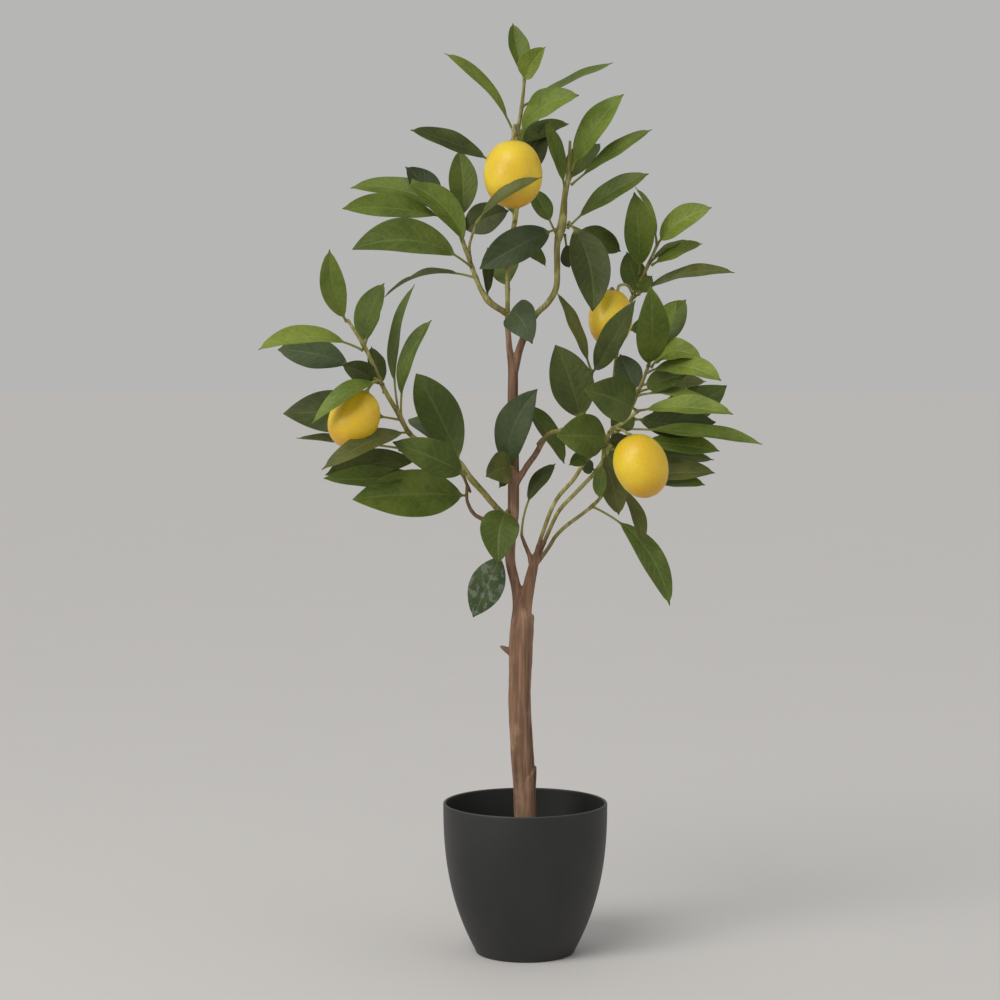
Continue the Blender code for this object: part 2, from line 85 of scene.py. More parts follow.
# The green shoots, in the same form. Each starts just clear of the wood or shoot it grew from.
SHOOTS = {
    "shoot_top": [
        (-14.1, 3, 397, 2.2), (-14, 3, 415, 2.2), (-14, 4, 445, 2.2), (-11, 6, 465, 2.2),
        (-7, 8, 487, 2.1), (-6, 9, 512, 2.0), (-7, 7, 540, 2.0), (-3, 4, 567, 1.7), (-1, 2, 588, 1.4),
    ],
    "shoot_upper_right": [
        (0.7, 2, 392.2, 2.8), (8, 3, 405, 2.8), (18, 5, 415, 2.8), (24, 6, 426, 2.8), (25, 8, 441, 2.9),
        (25, 9, 460, 3.0), (29, 10, 477, 4.0), (31, 10, 499, 2.6), (34, 10, 518, 2.2), (35, 10, 541, 1.2),
    ],
    "shoot_upper_left": [
        (-19.2, 3.6, 409, 3.0), (-28, 5, 415, 3.0), (-35, 8, 425, 2.4), (-40, 12, 437, 2.1),
        (-46, 16, 453, 2.0), (-52, 20, 469, 1.8), (-60, 24, 480, 1.6), (-68, 27, 488, 1.2),
    ],
    "shoot_left": [
        (-18.7, -1.2, 249.8, 3.0), (-26, -3, 258, 2.8), (-34, -6, 268, 2.8), (-42, -9, 277, 3.0),
        (-50, -12, 288, 3.0), (-59.5, -15, 298.5, 2.4), (-74, -18, 305, 2.2), (-88.5, -22, 313, 2.2),
        (-98, -26, 330, 2.1), (-109, -30, 350, 2.0), (-117, -34, 369, 1.9), (-124, -38, 384, 1.8),
        (-135, -42, 402, 1.4),
    ],
    "shoot_low_left": [
        (-46.2, 10, 271, 1.5), (-51, 8, 280, 1.5), (-64, 4, 287, 1.5), (-80, 0, 293, 1.4),
        (-99, -4, 300, 1.3),
    ],
    "shoot_centre": [
        (14.5, -7.3, 309.2, 2.2), (19.5, -8, 313.5, 2.2), (29, -9, 316, 2.2), (42, -8, 321, 2.1),
        (48, -4, 341, 1.9), (52, -2, 362, 1.5),
    ],
    "shoot_right_front": [
        (10.8, -1.6, 226, 1.9), (19, -4, 250, 1.9), (26, -7, 264, 1.9), (37, -10, 277, 1.9),
        (44.5, -13, 289.5, 1.9), (51, -15, 297.5, 1.9), (60, -18, 306, 1.9), (65.5, -19, 316, 1.9),
        (75, -22, 323, 1.9), (86, -24, 332, 1.6),
    ],
    "shoot_right_middle": [
        (15.6, 3.2, 228, 1.9), (26, 4, 250, 1.9), (39, 6, 264, 1.9), (47, 8, 272, 1.9),
        (58, 9, 284, 1.9), (66, 10, 299, 1.9), (76, 10, 319, 1.9), (84, 8, 334, 2.4), (88, 6, 343, 1.8),
        (93, 5, 355, 1.6), (99, 4, 372, 1.3),
    ],
    "shoot_right_low": [
        (17, -1.2, 220.9, 1.8), (19.5, -0.5, 224.5, 1.8), (24, 3, 231, 1.8), (32, 8, 238, 1.8),
        (45, 12, 247, 1.7), (53, 14, 253, 1.7), (60, 15, 260, 1.6), (70, 15, 274, 1.3),
    ],
    "shoot_far_right": [
        (69.5, 14, 309, 1.8), (70, 22, 326, 1.8), (72, 30, 357, 1.8), (76.5, 33, 389, 1.8),
        (84.5, 29, 415, 1.8), (91, 24, 430, 1.7), (97, 20, 443, 1.6), (104.5, 16, 460.5, 1.3),
    ],
}

# Each lemon: middle, width, length, the top end's direction, and its stalk's (x, y, z) points.
LEMONS = {
    "lemon_top": ((-10, -20, 513), 45, 52, (0.0, 0.0, 1.0),
                  [(-7, 4.4, 546), (-8, -5, 552), (-10, -17, 548), (-10, -20, 541)]),
    "lemon_left": ((-131, -39, 327), 38, 46, (0.43, 0.0, 0.90),
                   [(-110.5, -32.8, 354), (-113, -35, 356), (-117, -38, 354), (-121, -39, 348)]),
    "lemon_upper_right": ((67, 8, 402.5), 35, 45, (0.05, 0.0, 1.0),
                          [(86.5, 25.2, 420), (81, 16, 428), (74, 9, 428), (72, 8, 422)]),
    "lemon_lower_right": ((87.5, -36, 291), 41, 49.5, (-0.35, 0.0, 0.94),
                          [(64.5, -20.6, 316), (67, -28, 319.5), (74, -35, 318), (79, -36, 313.5)]),
}

# Each leaf: where its stalk leaves the shoot, its tip, its width, the turn of its upper face
# (0 faces the front, 90 faces up), the bulge of its middle upward and forward, the fold along
# its midrib, the length of its stalk, and its green.
LEAVES = {
    "leaf_top_1": ((-1, 2, 588), (-10, 12, 633), 20, 25, -1, 0, 30, 3, "bright"),
    "leaf_top_2": ((-1, 2, 588), (15, -12, 611), 21, 20, 2, 2, 30, 2, "young"),
    "leaf_top_3": ((-7, 7, 541), (-63, -8, 607), 16, 55, 8, 3, 16, 16, "young"),
    "leaf_top_4": ((-3, 4, 567), (69, 16, 603), 21, 72, 2, 0, 12, 8, "bright"),
    "leaf_top_5": ((-5, 7, 543), (41, -12, 574), 27, 42, 9, 3, 20, 6, "bright"),
    "leaf_top_6": ((-6, 9, 513), (-90, 2, 549), 20, 36, 4, 2, 22, 28, "dark"),
    "leaf_middle_1": ((26, 9, 473), (-36, 1, 441), 29, 14, 2, 8, 16, 8, "blue"),
    "leaf_middle_2": ((-14, 3, 405), (5, -16, 383), 28, 0, 6, 10, 10, 4, "blue"),
    "leaf_upper_right_1": ((31, 10, 502), (15, 2, 556), 14, 30, 2, 2, 20, 6, "bright"),
    "leaf_upper_right_2": ((36, 10, 518), (76, -4, 576), 25, 34, 4, 3, 16, 6, "bright"),
    "leaf_upper_right_3": ((36, 10, 507), (98, -2, 549), 17, 50, 2, 2, 18, 10, "bright"),
    "leaf_upper_right_4": ((33, 10, 473), (96, 0, 515), 22, 45, 4, 3, 16, 12, "mid"),
    "leaf_upper_right_5": ((34, 9, 478), (52, -5, 408), 32, 8, 7, 6, 14, 8, "dark"),
    "leaf_upper_left_1": ((-50, 18, 464), (-140, 35, 506), 25, 46, 17, -8, 16, 18, "bright"),
    "leaf_upper_left_2": ((-61, 24, 481), (-143.5, 4, 488), 26, 40, 4, 4, 16, 10, "bright"),
    "leaf_upper_left_3": ((-42, 13, 442), (-135, -4, 456), 36, 40, 14, 6, 16, 16, "mid"),
    "leaf_upper_left_4": ((-39, 11, 434), (-112, 24, 419), 22, 80, 11, 2, 10, 12, "olive"),
    "leaf_left_1": ((-136, -42, 401), (-147, -56, 455), 20, 10, -4, 3, 16, 3, "bright"),
    "leaf_left_2": ((-124, -38, 383), (-108, -32, 430), 23, 28, 3, 0, 16, 3, "mid"),
    "leaf_left_3": ((-124, -38, 379), (-201, -54, 380), 20, 46, 10, 2, 14, 13, "young"),
    "leaf_left_4": ((-113, -33, 356), (-190, -28, 379), 26, 16, 6, 2, 14, 25, "blue"),
    "leaf_left_5": ((-97, -26, 328), (-86, -14, 429), 20, 60, 9, 2, 14, 24, "mid"),
    "leaf_left_6": ((-95.5, -25, 324), (-72, -32, 402), 20, 52, 8, 2, 16, 18, "mid"),
    "leaf_left_7": ((-51, -12, 290), (-86, 6, 359), 34, 12, 2, 2, 14, 4, "mid"),
    "leaf_left_8": ((-96, -25, 325), (-188, -14, 329), 35, 18, 3, -2, 14, 14, "dark"),
    "leaf_left_9": ((-46, 10, 262), (-134, -20, 263), 39, 14, 3, 6, 12, 5, "bright"),
    "leaf_low_1": ((-14, -1, 252), (-21, -18, 213), 31, 0, 4, 8, 10, 3, "mid"),
    "leaf_low_2": ((-13, 0, 229), (-41, -8, 169), 28, 2, 1, 4, 10, 16, "blue"),
    "leaf_centre_1": ((-11, 2, 276), (9, -12, 348), 31, 28, 10, 5, 16, 10, "blue"),
    "leaf_centre_2": ((-10, 2, 341), (31, 12, 287), 22, 48, 4, -3, 16, 10, "mid"),
    "leaf_right_1": ((91, 23, 437), (85, 4, 501), 25, 8, 1, 5, 14, 8, "bright"),
    "leaf_right_2": ((104.5, 16, 460.5), (146, 6, 489), 24, 35, 5, 3, 14, 4, "young"),
    "leaf_right_3": ((86.5, 28, 418), (164, 4, 438), 20, 64, 9, 2, 12, 12, "olive"),
    "leaf_right_4": ((51, -2, 358), (83, -34, 417), 23, 30, 0, 10, 16, 9, "dark"),
    "leaf_right_5": ((43, -8, 322), (23, -8, 382), 35, 10, 2, 3, 12, 4, "dark"),
    "leaf_right_6": ((84, -23, 333), (43, -48, 350), 35, 12, 2, 4, 14, 5, "mid"),
    "leaf_right_7": ((96, 4, 365), (95, -26, 428), 27, 8, 2, 9, 14, 4, "bright"),
    "leaf_right_8": ((96, 4, 360), (150, -24, 355), 25, 50, 8, 3, 14, 7, "young"),
    "leaf_right_9": ((86, -24, 332), (156, -46, 331), 23, 52, 4, 2, 14, 6, "young"),
    "leaf_right_10": ((74, 10, 315), (184, -12, 305), 22, 60, 3, 0, 12, 24, "bright"),
    "leaf_right_11": ((64, -18, 311), (23, -36, 314), 34, 10, 1, 4, 12, 4, "mid"),
    "leaf_hanging_1": ((60, -17, 303.5), (73, -6, 249), 22, 8, 1, -1, 12, 6, "olive"),
    "leaf_hanging_2": ((53, 14, 253), (114, 2, 176), 20, 12, 13, 3, 12, 22, "mid"),
}

# Leaves that fill the crown between the ones above, in the same form.
FILLERS = {
    "leaf_top_7": ((-38, -22, 476), (12, -33, 510), 13, 45, 5, 8, 16, 5, "olive"),
    # leaf_top_8's dark green is partly painted shade, for the shadow under the leaves above it.
    "leaf_top_8": ((-6, 9, 500), (17, 15, 557), 24, 12, 2, -3, 14, 8, "dark"),
    "leaf_top_9": ((25, 9, 466), (5, 14, 504), 17, 20, 1, 0, 14, 14, "mid"),
    "leaf_top_10": ((-7, 8, 536), (35, 24, 556), 20, 40, 3, 0, 16, 6, "mid"),
    "leaf_top_11": ((-9, 6, 478), (-22, 30, 520), 24, 20, 3, 0, 14, 8, "mid"),
    "leaf_top_12": ((-7, 8, 525), (11, 28, 560), 16, 24, 2, 0, 14, 8, "bright"),
    "leaf_middle_3": ((-12, 6, 462), (16, 8, 443), 16, 45, 4, 0, 14, 6, "mid"),
    "leaf_middle_4": ((-52, 20, 470), (-13, 16, 487), 26, 12, 2, 0, 14, 5, "dark"),
    "leaf_middle_5": ((-30, 6, 417), (-30, 8, 458), 12, 40, 0, 0, 16, 3, "dark"),
    "leaf_middle_6": ((-13, 4, 425), (-9, 31, 456), 24, 30, 4, 0, 14, 6, "mid"),
    "leaf_upper_left_5": ((-52, 20, 470), (-53, 30, 536), 24, 8, 3, 0, 14, 14, "mid"),
    "leaf_upper_left_6": ((-68, 27, 488), (-96, 36, 523), 24, 0, 3, -6, 12, 5, "blue"),
    "leaf_upper_left_7": ((-47, 17, 457), (-93, 20, 508), 24, 25, 9, 0, 16, 6, "bright"),
    "leaf_upper_right_6": ((33, 10, 476), (76, 20, 455), 21, 20, 1, 0, 14, 12, "mid"),
    "leaf_upper_right_7": ((91, 24, 420), (81, 26, 455), 22, 10, 0, 0, 14, 3, "mid"),
    "leaf_upper_right_8": ((31, 10, 468), (35, 22, 442), 14, 20, 0, 0, 14, 10, "dark"),
    "leaf_upper_right_9": ((33, 10, 505), (60, 31, 541), 24, 30, 4, 0, 14, 10, "mid"),
    "leaf_left_10": ((-113, -31, 354), (-140, -40, 368), 18, 0, 2, 2, 14, 4, "dark"),
    "leaf_left_11": ((-113, -31, 354), (-162, -49, 324), 18, 42, 6, 19, 16, 4, "bright"),
    "leaf_left_12": ((-97, -4, 301), (-178, -14, 310), 16, 74, 1, 0, 14, 20, "olive"),
    "leaf_left_13": ((-90, -23, 315), (-154, -54, 290), 20, 40, 6, 14, 16, 8, "olive"),
    # leaf_left_14's dark green is painted shade: with leaf_left_15's lit mid green it makes the shaded
    # upper and lit lower halves of one folded leaf.
    "leaf_left_14": ((-72, 2, 290), (-156, -12, 281), 24, 25, 4, 0, 14, 14, "dark"),
    "leaf_left_15": ((-66, 4, 288), (-156, -24, 280), 26, 48, -5, 2, 14, 26, "mid"),
    "leaf_left_16": ((-47, -13, 282), (-102, -34, 309), 28, 18, 2, 7, 14, 4, "mid"),
    "leaf_left_17": ((-109, -25, 346), (-120, -10, 381), 15, 30, 0, 0, 14, 8, "dark"),
    "leaf_left_18": ((-66, -16, 301), (-92, 22, 322), 26, 40, 6, 0, 14, 8, "mid"),
    "leaf_left_19": ((-124, -30, 380), (-114, -14, 415), 16, 35, 0, 0, 14, 8, "mid"),
    "leaf_low_3": ((-9, -1, 286), (-31, -14, 280), 26, 0, 3, 3, 10, 5, "olive"),
    "leaf_low_4": ((-12, -1, 282), (-21, -6, 270), 7, 0, 0, 0, 10, 2, "dark"),
    "leaf_low_5": ((-3, 0, 232), (24, 6, 288), 17, 48, 7, 0, 12, 26, "dark"),
    "leaf_centre_3": ((51, -2, 362), (24, -6, 423), 18, 55, 2, 1, 16, 6, "olive"),
    "leaf_right_12": ((104, 16, 461), (86, 6, 505), 12, 60, 3, 2, 16, 4, "young"),
    "leaf_right_13": ((100, 19, 444), (140, 14, 461), 18, 52, 2, 0, 14, 4, "young"),
    "leaf_right_14": ((98, 20, 445), (131, 22, 464), 14, 75, 3, 0, 14, 4, "bright"),
    "leaf_right_15": ((101, 4, 374), (118, -4, 416), 18, 35, 3, 2, 16, 3, "bright"),
    "leaf_right_16": ((99, 4, 372), (127, 14, 417), 25, 10, 2, 0, 14, 10, "mid"),
    "leaf_right_17": ((99, 4, 364), (137, -10, 371), 24, 50, 10, 4, 14, 4, "young"),
    "leaf_right_18": ((92, 5, 350), (125, -12, 359), 20, 26, 0, 2, 14, 4, "mid"),
    "leaf_right_19": ((90, 5, 345), (144, 18, 352), 15, 36, 2, 0, 14, 12, "olive"),
    "leaf_right_20": ((89, 5, 342), (146, -18, 336), 16, 66, 5, 3, 14, 6, "young"),
    "leaf_right_21": ((78, 9, 322), (160, 16, 349), 30, 14, -7, 0, 14, 18, "mid"),
    "leaf_right_22": ((80, 9, 325), (150, 4, 321), 26, 20, -4, 0, 12, 10, "dark"),
    "leaf_right_23": ((70, 10, 305), (153, 4, 298), 24, 45, 2, 0, 14, 24, "bright"),
    "leaf_right_24": ((66, 10, 299), (150, 14, 290), 18, 50, 1, 0, 14, 24, "mid"),
    "leaf_right_25": ((70, 15, 274), (149, 2, 281), 24, 48, 2, 0, 14, 20, "olive"),
    "leaf_right_26": ((70, 15, 274), (142, 6, 271), 22, 60, 2, 0, 14, 20, "bright"),
    "leaf_right_27": ((51, -15, 297), (33, -24, 290), 12, 10, 1, 0, 14, 4, "mid"),
    "leaf_right_28": ((65, -18, 314), (85, -10, 326), 20, 20, 2, 0, 14, 4, "dark"),
    "leaf_right_29": ((61, -17, 306), (80, -12, 306), 14, 30, 1, 0, 14, 4, "dark"),
    "leaf_right_30": ((56, 9, 282), (42, 2, 289), 12, 20, 0, 0, 12, 3, "dark"),
    "leaf_right_31": ((60, -16, 304), (57, -14, 263), 12, 20, 0, 0, 12, 14, "mid"),
    "leaf_right_32": ((70, 15, 274), (92, -2, 224), 15, 45, 5, 3, 14, 8, "olive"),
    "leaf_right_33": ((88, 6, 343), (75, 14, 374), 23, 10, 0, 0, 14, 4, "blue"),
    "leaf_right_34": ((77, 32, 390), (116, 31, 390), 20, 40, 4, 0, 14, 8, "mid"),
    "leaf_right_35": ((78, 10, 322), (64, 26, 344), 22, 40, 0, 0, 14, 5, "mid"),
    "leaf_right_36": ((58, 9, 284), (98, 30, 300), 26, 40, 6, 0, 14, 8, "mid"),
    "leaf_right_37": ((90, 24, 421), (101, 21, 436), 14, 20, 0, 0, 14, 3, "mid"),
}
# A thin twig that carries the leaf lying across the topmost lemon.
FRONT_TWIG = [(-43, 13, 447, 1.5), (-44, 0, 458, 1.4), (-41, -14, 468, 1.2), (-38, -22, 476, 0.9)]


# ---------------------------------------------------------------- shaping helpers


def spot(x, y, z):
    """A layout point in metres, in the frame of the pot."""
    return Vector((x * MM, y * MM * CROWN_DEPTH, COLLAR + z * MM))


def ease(value, low, high):
    """0 below low, 1 above high, and a soft rise between."""
    share = min(max((value - low) / (high - low), 0.0), 1.0)
    return share * share * (3 - 2 * share)


def smooth_line(rows, steps):
    """Rows of numbers along a Catmull-Rom curve through the given rows, the ends included."""
    rows = [tuple(row) for row in rows]
    padded = [rows[0], *rows, rows[-1]]
    line = []
    for before, start, end, after in zip(padded, padded[1:], padded[2:], padded[3:]):
        for k in range(steps):
            t = k / steps
            weights = (
                -0.5 * t + t**2 - 0.5 * t**3,
                1 - 2.5 * t**2 + 1.5 * t**3,
                0.5 * t + 2 * t**2 - 1.5 * t**3,
                -0.5 * t**2 + 0.5 * t**3,
            )
            corners = zip(before, start, end, after)
            line.append(tuple(sum(w * c for w, c in zip(weights, cs)) for cs in corners))
    line.append(rows[-1])
    return line


def placed(rows):
    """Layout rows of (x, y, z, radius) as (centre, radius) pairs in metres."""
    return [(spot(*row[:3]), row[3] * MM) for row in rows]


def square_to(centres):
    """Two directions square to the line at each of its points, without twist."""
    pairs = []
    side = None
    for k in range(len(centres)):
        ahead = centres[min(k + 1, len(centres) - 1)] - centres[max(k - 1, 0)]
        ahead.normalize()
        if side is None:
            side = ahead.cross(FRONT)
            if side.length < 0.05:
                side = ahead.cross(Vector((1, 0, 0)))
            side.normalize()
        side = (side - ahead * side.dot(ahead)).normalized()
        pairs.append((side, ahead.cross(side)))
    return pairs


def skin(bm, rings, start_cap=True, end_cap=True):
    """Faces between rings of vertices, with a cap at each end that asks for one."""
    for low, high in zip(rings, rings[1:]):
        for k in range(len(low)):
            n = (k + 1) % len(low)
            bm.faces.new((low[k], low[n], high[n], high[k]))
    if start_cap:
        bm.faces.new(rings[0][::-1])
    if end_cap:
        bm.faces.new(rings[-1])


def round_rod(bm, line, sides, uneven=0.0, seed=0.0):
    """A rod along (centre, radius) pairs with domed ends."""
    centres = [row[0] for row in line]
    first, last = line[0], line[-1]
    head = (centres[0] - centres[1]).normalized()
    tail = (centres[-1] - centres[-2]).normalized()
    rows = []
    for turn in (80, 55, 25):
        angle = math.radians(turn)
        rows.append((first[0] + head * first[1] * 0.6 * math.sin(angle), first[1] * math.cos(angle)))
    rows += line
    for turn in (25, 55, 80):
        angle = math.radians(turn)
        rows.append((last[0] + tail * last[1] * 0.6 * math.sin(angle), last[1] * math.cos(angle)))
    pairs = square_to([row[0] for row in rows])
    rings = []
    for (centre, radius), (side, up) in zip(rows, pairs):
        ring = []
        for j in range(sides):
            angle = math.tau * j / sides
            reach = side * math.cos(angle) + up * math.sin(angle)
            here = centre + reach * radius
            if uneven:
                rough = noise.noise(Vector((here.x * 260 + seed, here.y * 260, here.z * 60)))
                here += reach * radius * uneven * rough
            ring.append(bm.verts.new(here))
        rings.append(ring)
    skin(bm, rings)


def circle(radius, sides):
    """Places (x, y) spaced evenly around the axis."""
    angles = [math.tau * j / sides for j in range(sides)]
    return [(radius * math.cos(angle), radius * math.sin(angle)) for angle in angles]


def turned(bm, outline, sides):
    """Turns a (radius, z) outline that starts and ends on the axis about +Z."""
    first = bm.verts.new((0, 0, outline[0][1]))
    last = bm.verts.new((0, 0, outline[-1][1]))
    rings = []
    for radius, z in outline[1:-1]:
        rings.append([bm.verts.new((x, y, z)) for x, y in circle(radius, sides)])
    skin(bm, rings, start_cap=False, end_cap=False)
    for j in range(sides):
        n = (j + 1) % sides
        bm.faces.new((first, rings[0][n], rings[0][j]))
        bm.faces.new((last, rings[-1][j], rings[-1][n]))


def finished(name, mesh, finish, stands_for=()):
    """Makes a mesh into a piece that rides on the plant's one body."""
    mesh.name = name
    mesh.materials.clear()
    mesh.materials.append(finish)
    mesh.shade_smooth()
    piece = bpy.data.objects.new(name, mesh)
    bpy.context.collection.objects.link(piece)
    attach(piece, "root")
    if stands_for:
        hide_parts(*stands_for)


def to_mesh(bm):
    """Closes a bmesh into a mesh with its faces turned outward."""
    bmesh.ops.recalc_face_normals(bm, faces=bm.faces)
    mesh = bpy.data.meshes.new("work")
    bm.to_mesh(mesh)
    bm.free()
    return mesh


def paint_value(mesh, label, values):
    """One number for each vertex, for the material to read."""
    layer = mesh.attributes.new(label, "FLOAT", "POINT")
    layer.data.foreach_set("value", values)


# ---------------------------------------------------------------- material helpers


def put(tree, kind, wires=None, **settings):
    """A shader node with its settings, each input given a value or a socket."""
    made = tree.nodes.new("ShaderNode" + kind)
    for label, value in settings.items():
        setattr(made, label, value)
    for label, value in (wires or {}).items():
        socket = made.inputs[label]
        if isinstance(value, bpy.types.NodeSocket):
            tree.links.new(value, socket)
        else:
            socket.default_value = value
    return made


def sum_of(tree, operation, *terms):
    """A Math node's result."""
    wires = {k: term for k, term in enumerate(terms)}
    return put(tree, "Math", wires, operation=operation).outputs[0]


def fade(tree, value, low, high, start=0.0, end=1.0):
    """value from low to high, turned softly into start to end."""
    wires = {"Value": value, "From Min": low, "From Max": high, "To Min": start, "To Max": end}
    return put(tree, "MapRange", wires, interpolation_type="SMOOTHSTEP").outputs[0]


def blend_colour(tree, share, first, second, blend_type="MIX"):
    """Two colours mixed by a share."""
    wires = {0: share, 6: first, 7: second}
    return put(tree, "Mix", wires, data_type="RGBA", blend_type=blend_type).outputs[2]


def blotches(tree, place, scale, detail=3.0, roughness=0.55):
    """Soft noise of a given size, from 0 to 1."""
    wires = {"Vector": place, "Scale": scale, "Detail": detail, "Roughness": roughness}
    return put(tree, "TexNoise", wires).outputs["Fac"]


def stretched(tree, place, x, y, z):
    """A position with each axis scaled."""
    wires = {0: place, 1: (x, y, z)}
    return put(tree, "VectorMath", wires, operation="MULTIPLY").outputs[0]


def own_place(tree):
    """Where a point lies on its own piece."""
    return put(tree, "TexCoord").outputs["Object"]


def start_group(name, takes):
    """A shader group with its named inputs and their first values."""
    tree = bpy.data.node_groups.new(name, "ShaderNodeTree")
    for label, value in takes.items():
        kind = "NodeSocketColor" if isinstance(value, tuple) else "NodeSocketFloat"
        tree.interface.new_socket(label, in_out="INPUT", socket_type=kind).default_value = value
    return tree, tree.nodes.new("NodeGroupInput").outputs, own_place(tree)


def close_group(tree, **results):
    """Gives a shader group its named outputs."""
    for label in results:
        kind = "NodeSocketColor" if label == "Colour" else "NodeSocketFloat"
        tree.interface.new_socket(label, in_out="OUTPUT", socket_type=kind)
    outer = tree.nodes.new("NodeGroupOutput").inputs
    for label, result in results.items():
        tree.links.new(result, outer[label])
    return tree


def use_group(tree, group, wires):
    """A group placed in a material with its own values. Returns its outputs."""
    made = tree.nodes.new("ShaderNodeGroup")
    made.node_tree = group
    for label, value in wires.items():
        if isinstance(value, bpy.types.NodeSocket):
            tree.links.new(value, made.inputs[label])
        else:
            made.inputs[label].default_value = value
    return made.outputs


def start_material(name, **values):
    """A Principled material with plain values on its own sockets."""
    made = bpy.data.materials.new(name)
    made.use_nodes = True
    tree = made.node_tree
    shader = tree.nodes["Principled BSDF"]
    for label, value in values.items():
        shader.inputs[label.replace("_", " ")].default_value = value
    return made, tree, shader


def dress(tree, shader, tint, roughness, height, depth, strength):
    """Feeds the shader its colour, its roughness and a relief of the given depth."""
    tree.links.new(tint, shader.inputs["Base Color"])
    tree.links.new(roughness, shader.inputs["Roughness"])
    bump = put(tree, "Bump", {"Height": height, "Distance": depth, "Strength": strength})
    tree.links.new(bump.outputs["Normal"], shader.inputs["Normal"])


def painted(tree, label):
    """A number painted on the mesh."""
    return put(tree, "Attribute", attribute_name=label).outputs["Fac"]


def colour(red, green, blue):
    return (red, green, blue, 1.0)


# ---------------------------------------------------------------- shader groups


def make_leaf_veins():
    """Midrib and side veins from how far across and along the blade a point lies."""
    takes = {"Across": 0.0, "Along": 0.0, "Vein Pairs": 9.0, "Lean": 0.22}
    tree, inner, place = start_group("leaf_veins", takes)
    away = sum_of(tree, "ABSOLUTE", inner["Across"])
    wander = sum_of(tree, "SUBTRACT", blotches(tree, place, 70.0, 1.0), 0.5)
    leaned = sum_of(tree, "SUBTRACT", inner["Along"], sum_of(tree, "MULTIPLY", away, inner["Lean"]))
    counted = sum_of(tree, "MULTIPLY_ADD", leaned, inner["Vein Pairs"], wander)
    gap = sum_of(tree, "PINGPONG", counted, 0.5)
    line = fade(tree, gap, 0.02, 0.15, 1.0, 0.0)
    inside = fade(tree, away, 0.70, 0.95, 1.0, 0.0)
    veins = sum_of(tree, "MULTIPLY", line, inside)
    rib_width = fade(tree, inner["Along"], 0.0, 1.0, 0.07, 0.12)
    rib = put(tree, "MapRange", {"Value": away, "From Max": rib_width, "To Min": 1.0, "To Max": 0.0},
              interpolation_type="SMOOTHSTEP").outputs[0]
    swell = sum_of(tree, "MULTIPLY", gap, 0.9)
    grain = sum_of(tree, "MULTIPLY", blotches(tree, place, 900.0, 2.0), 0.25)
    height = sum_of(tree, "ADD", sum_of(tree, "SUBTRACT", swell, rib), grain)
    return close_group(tree, Rib=rib, Veins=veins, Height=height)


def make_leaf_tint():
    """The blade's colour: soft patches, paler ribs and margin, a dull underside, a green stalk."""
    takes = {
        "Blade": colour(0.05, 0.1, 0.03), "Patches": colour(0.1, 0.2, 0.05),
        "Rib Colour": colour(0.2, 0.3, 0.1), "Underside": colour(0.1, 0.15, 0.1),
        "Stalk": colour(0.25, 0.3, 0.08), "Rib": 0.0, "Veins": 0.0, "Across": 0.0, "Along": 0.0,
        "Under": 0.0, "Tone": 0.5, "Vein Contrast": 0.25, "Dullness": 0.4,
    }
    tree, inner, place = start_group("leaf_tint", takes)
    broad = fade(tree, blotches(tree, place, 38.0, 2.0), 0.38, 0.64)
    tint = blend_colour(tree, broad, inner["Blade"], inner["Patches"])
    fine = fade(tree, blotches(tree, place, 420.0, 3.0), 0.3, 0.7, 0.9, 1.12)
    tint = blend_colour(tree, 1.0, tint, fine, "MULTIPLY")
    veined = sum_of(tree, "MULTIPLY", inner["Veins"], inner["Vein Contrast"])
    tint = blend_colour(tree, veined, tint, inner["Rib Colour"])
    tint = blend_colour(tree, sum_of(tree, "MULTIPLY", inner["Rib"], 0.6), tint, inner["Rib Colour"])
    away = sum_of(tree, "ABSOLUTE", inner["Across"])
    tint = blend_colour(tree, fade(tree, away, 0.90, 1.0, 0.0, 0.15), tint, inner["Rib Colour"])
    tint = blend_colour(tree, sum_of(tree, "MULTIPLY", inner["Under"], 0.7), tint, inner["Underside"])
    tint = blend_colour(tree, fade(tree, inner["Along"], -0.02, 0.09, 1.0, 0.0), tint, inner["Stalk"])
    bright = sum_of(tree, "MULTIPLY_ADD", inner["Tone"], 0.36, 0.82)
    tint = blend_colour(tree, 1.0, tint, bright, "MULTIPLY")
    dull = sum_of(tree, "MULTIPLY_ADD", inner["Under"], 0.16, inner["Dullness"])
    rough = sum_of(tree, "MULTIPLY_ADD", fade(tree, blotches(tree, place, 120.0), 0.3, 0.7), 0.1, dull)
    return close_group(tree, Colour=tint, Roughness=rough)


def make_bark_streaks():
    """Lengthways fibres and broader patches of bark."""
    takes = {
        "Dark": colour(0.05, 0.03, 0.02), "Middle": colour(0.12, 0.06, 0.03),
        "Light": colour(0.25, 0.14, 0.08), "Patch Size": 60.0, "Fibre Size": 700.0, "Stretch": 0.08,
    }
    tree, inner, place = start_group("bark_streaks", takes)
    squeeze = put(tree, "CombineXYZ", {0: 1.0, 1: 1.0, 2: inner["Stretch"]}).outputs[0]
    drawn = put(tree, "VectorMath", {0: place, 1: squeeze}, operation="MULTIPLY").outputs[0]
    fibres = blotches(tree, drawn, inner["Fibre Size"], 4.0, 0.5)
    band_size = sum_of(tree, "MULTIPLY", inner["Fibre Size"], 0.28)
    bands = blotches(tree, drawn, band_size, 2.0, 0.5)
    patches = blotches(tree, place, inner["Patch Size"], 3.0, 0.5)
    tint = blend_colour(tree, fade(tree, bands, 0.34, 0.60), inner["Dark"], inner["Middle"])
    tint = blend_colour(tree, fade(tree, patches, 0.46, 0.66, 0.0, 0.85), tint, inner["Light"])
    tint = blend_colour(tree, 1.0, tint, fade(tree, fibres, 0.3, 0.7, 0.72, 1.25), "MULTIPLY")
    height = sum_of(tree, "MULTIPLY_ADD", bands, 1.4, fibres)
    rough = fade(tree, fibres, 0.3, 0.7, 0.92, 0.74)
    return close_group(tree, Colour=tint, Height=height, Roughness=rough)


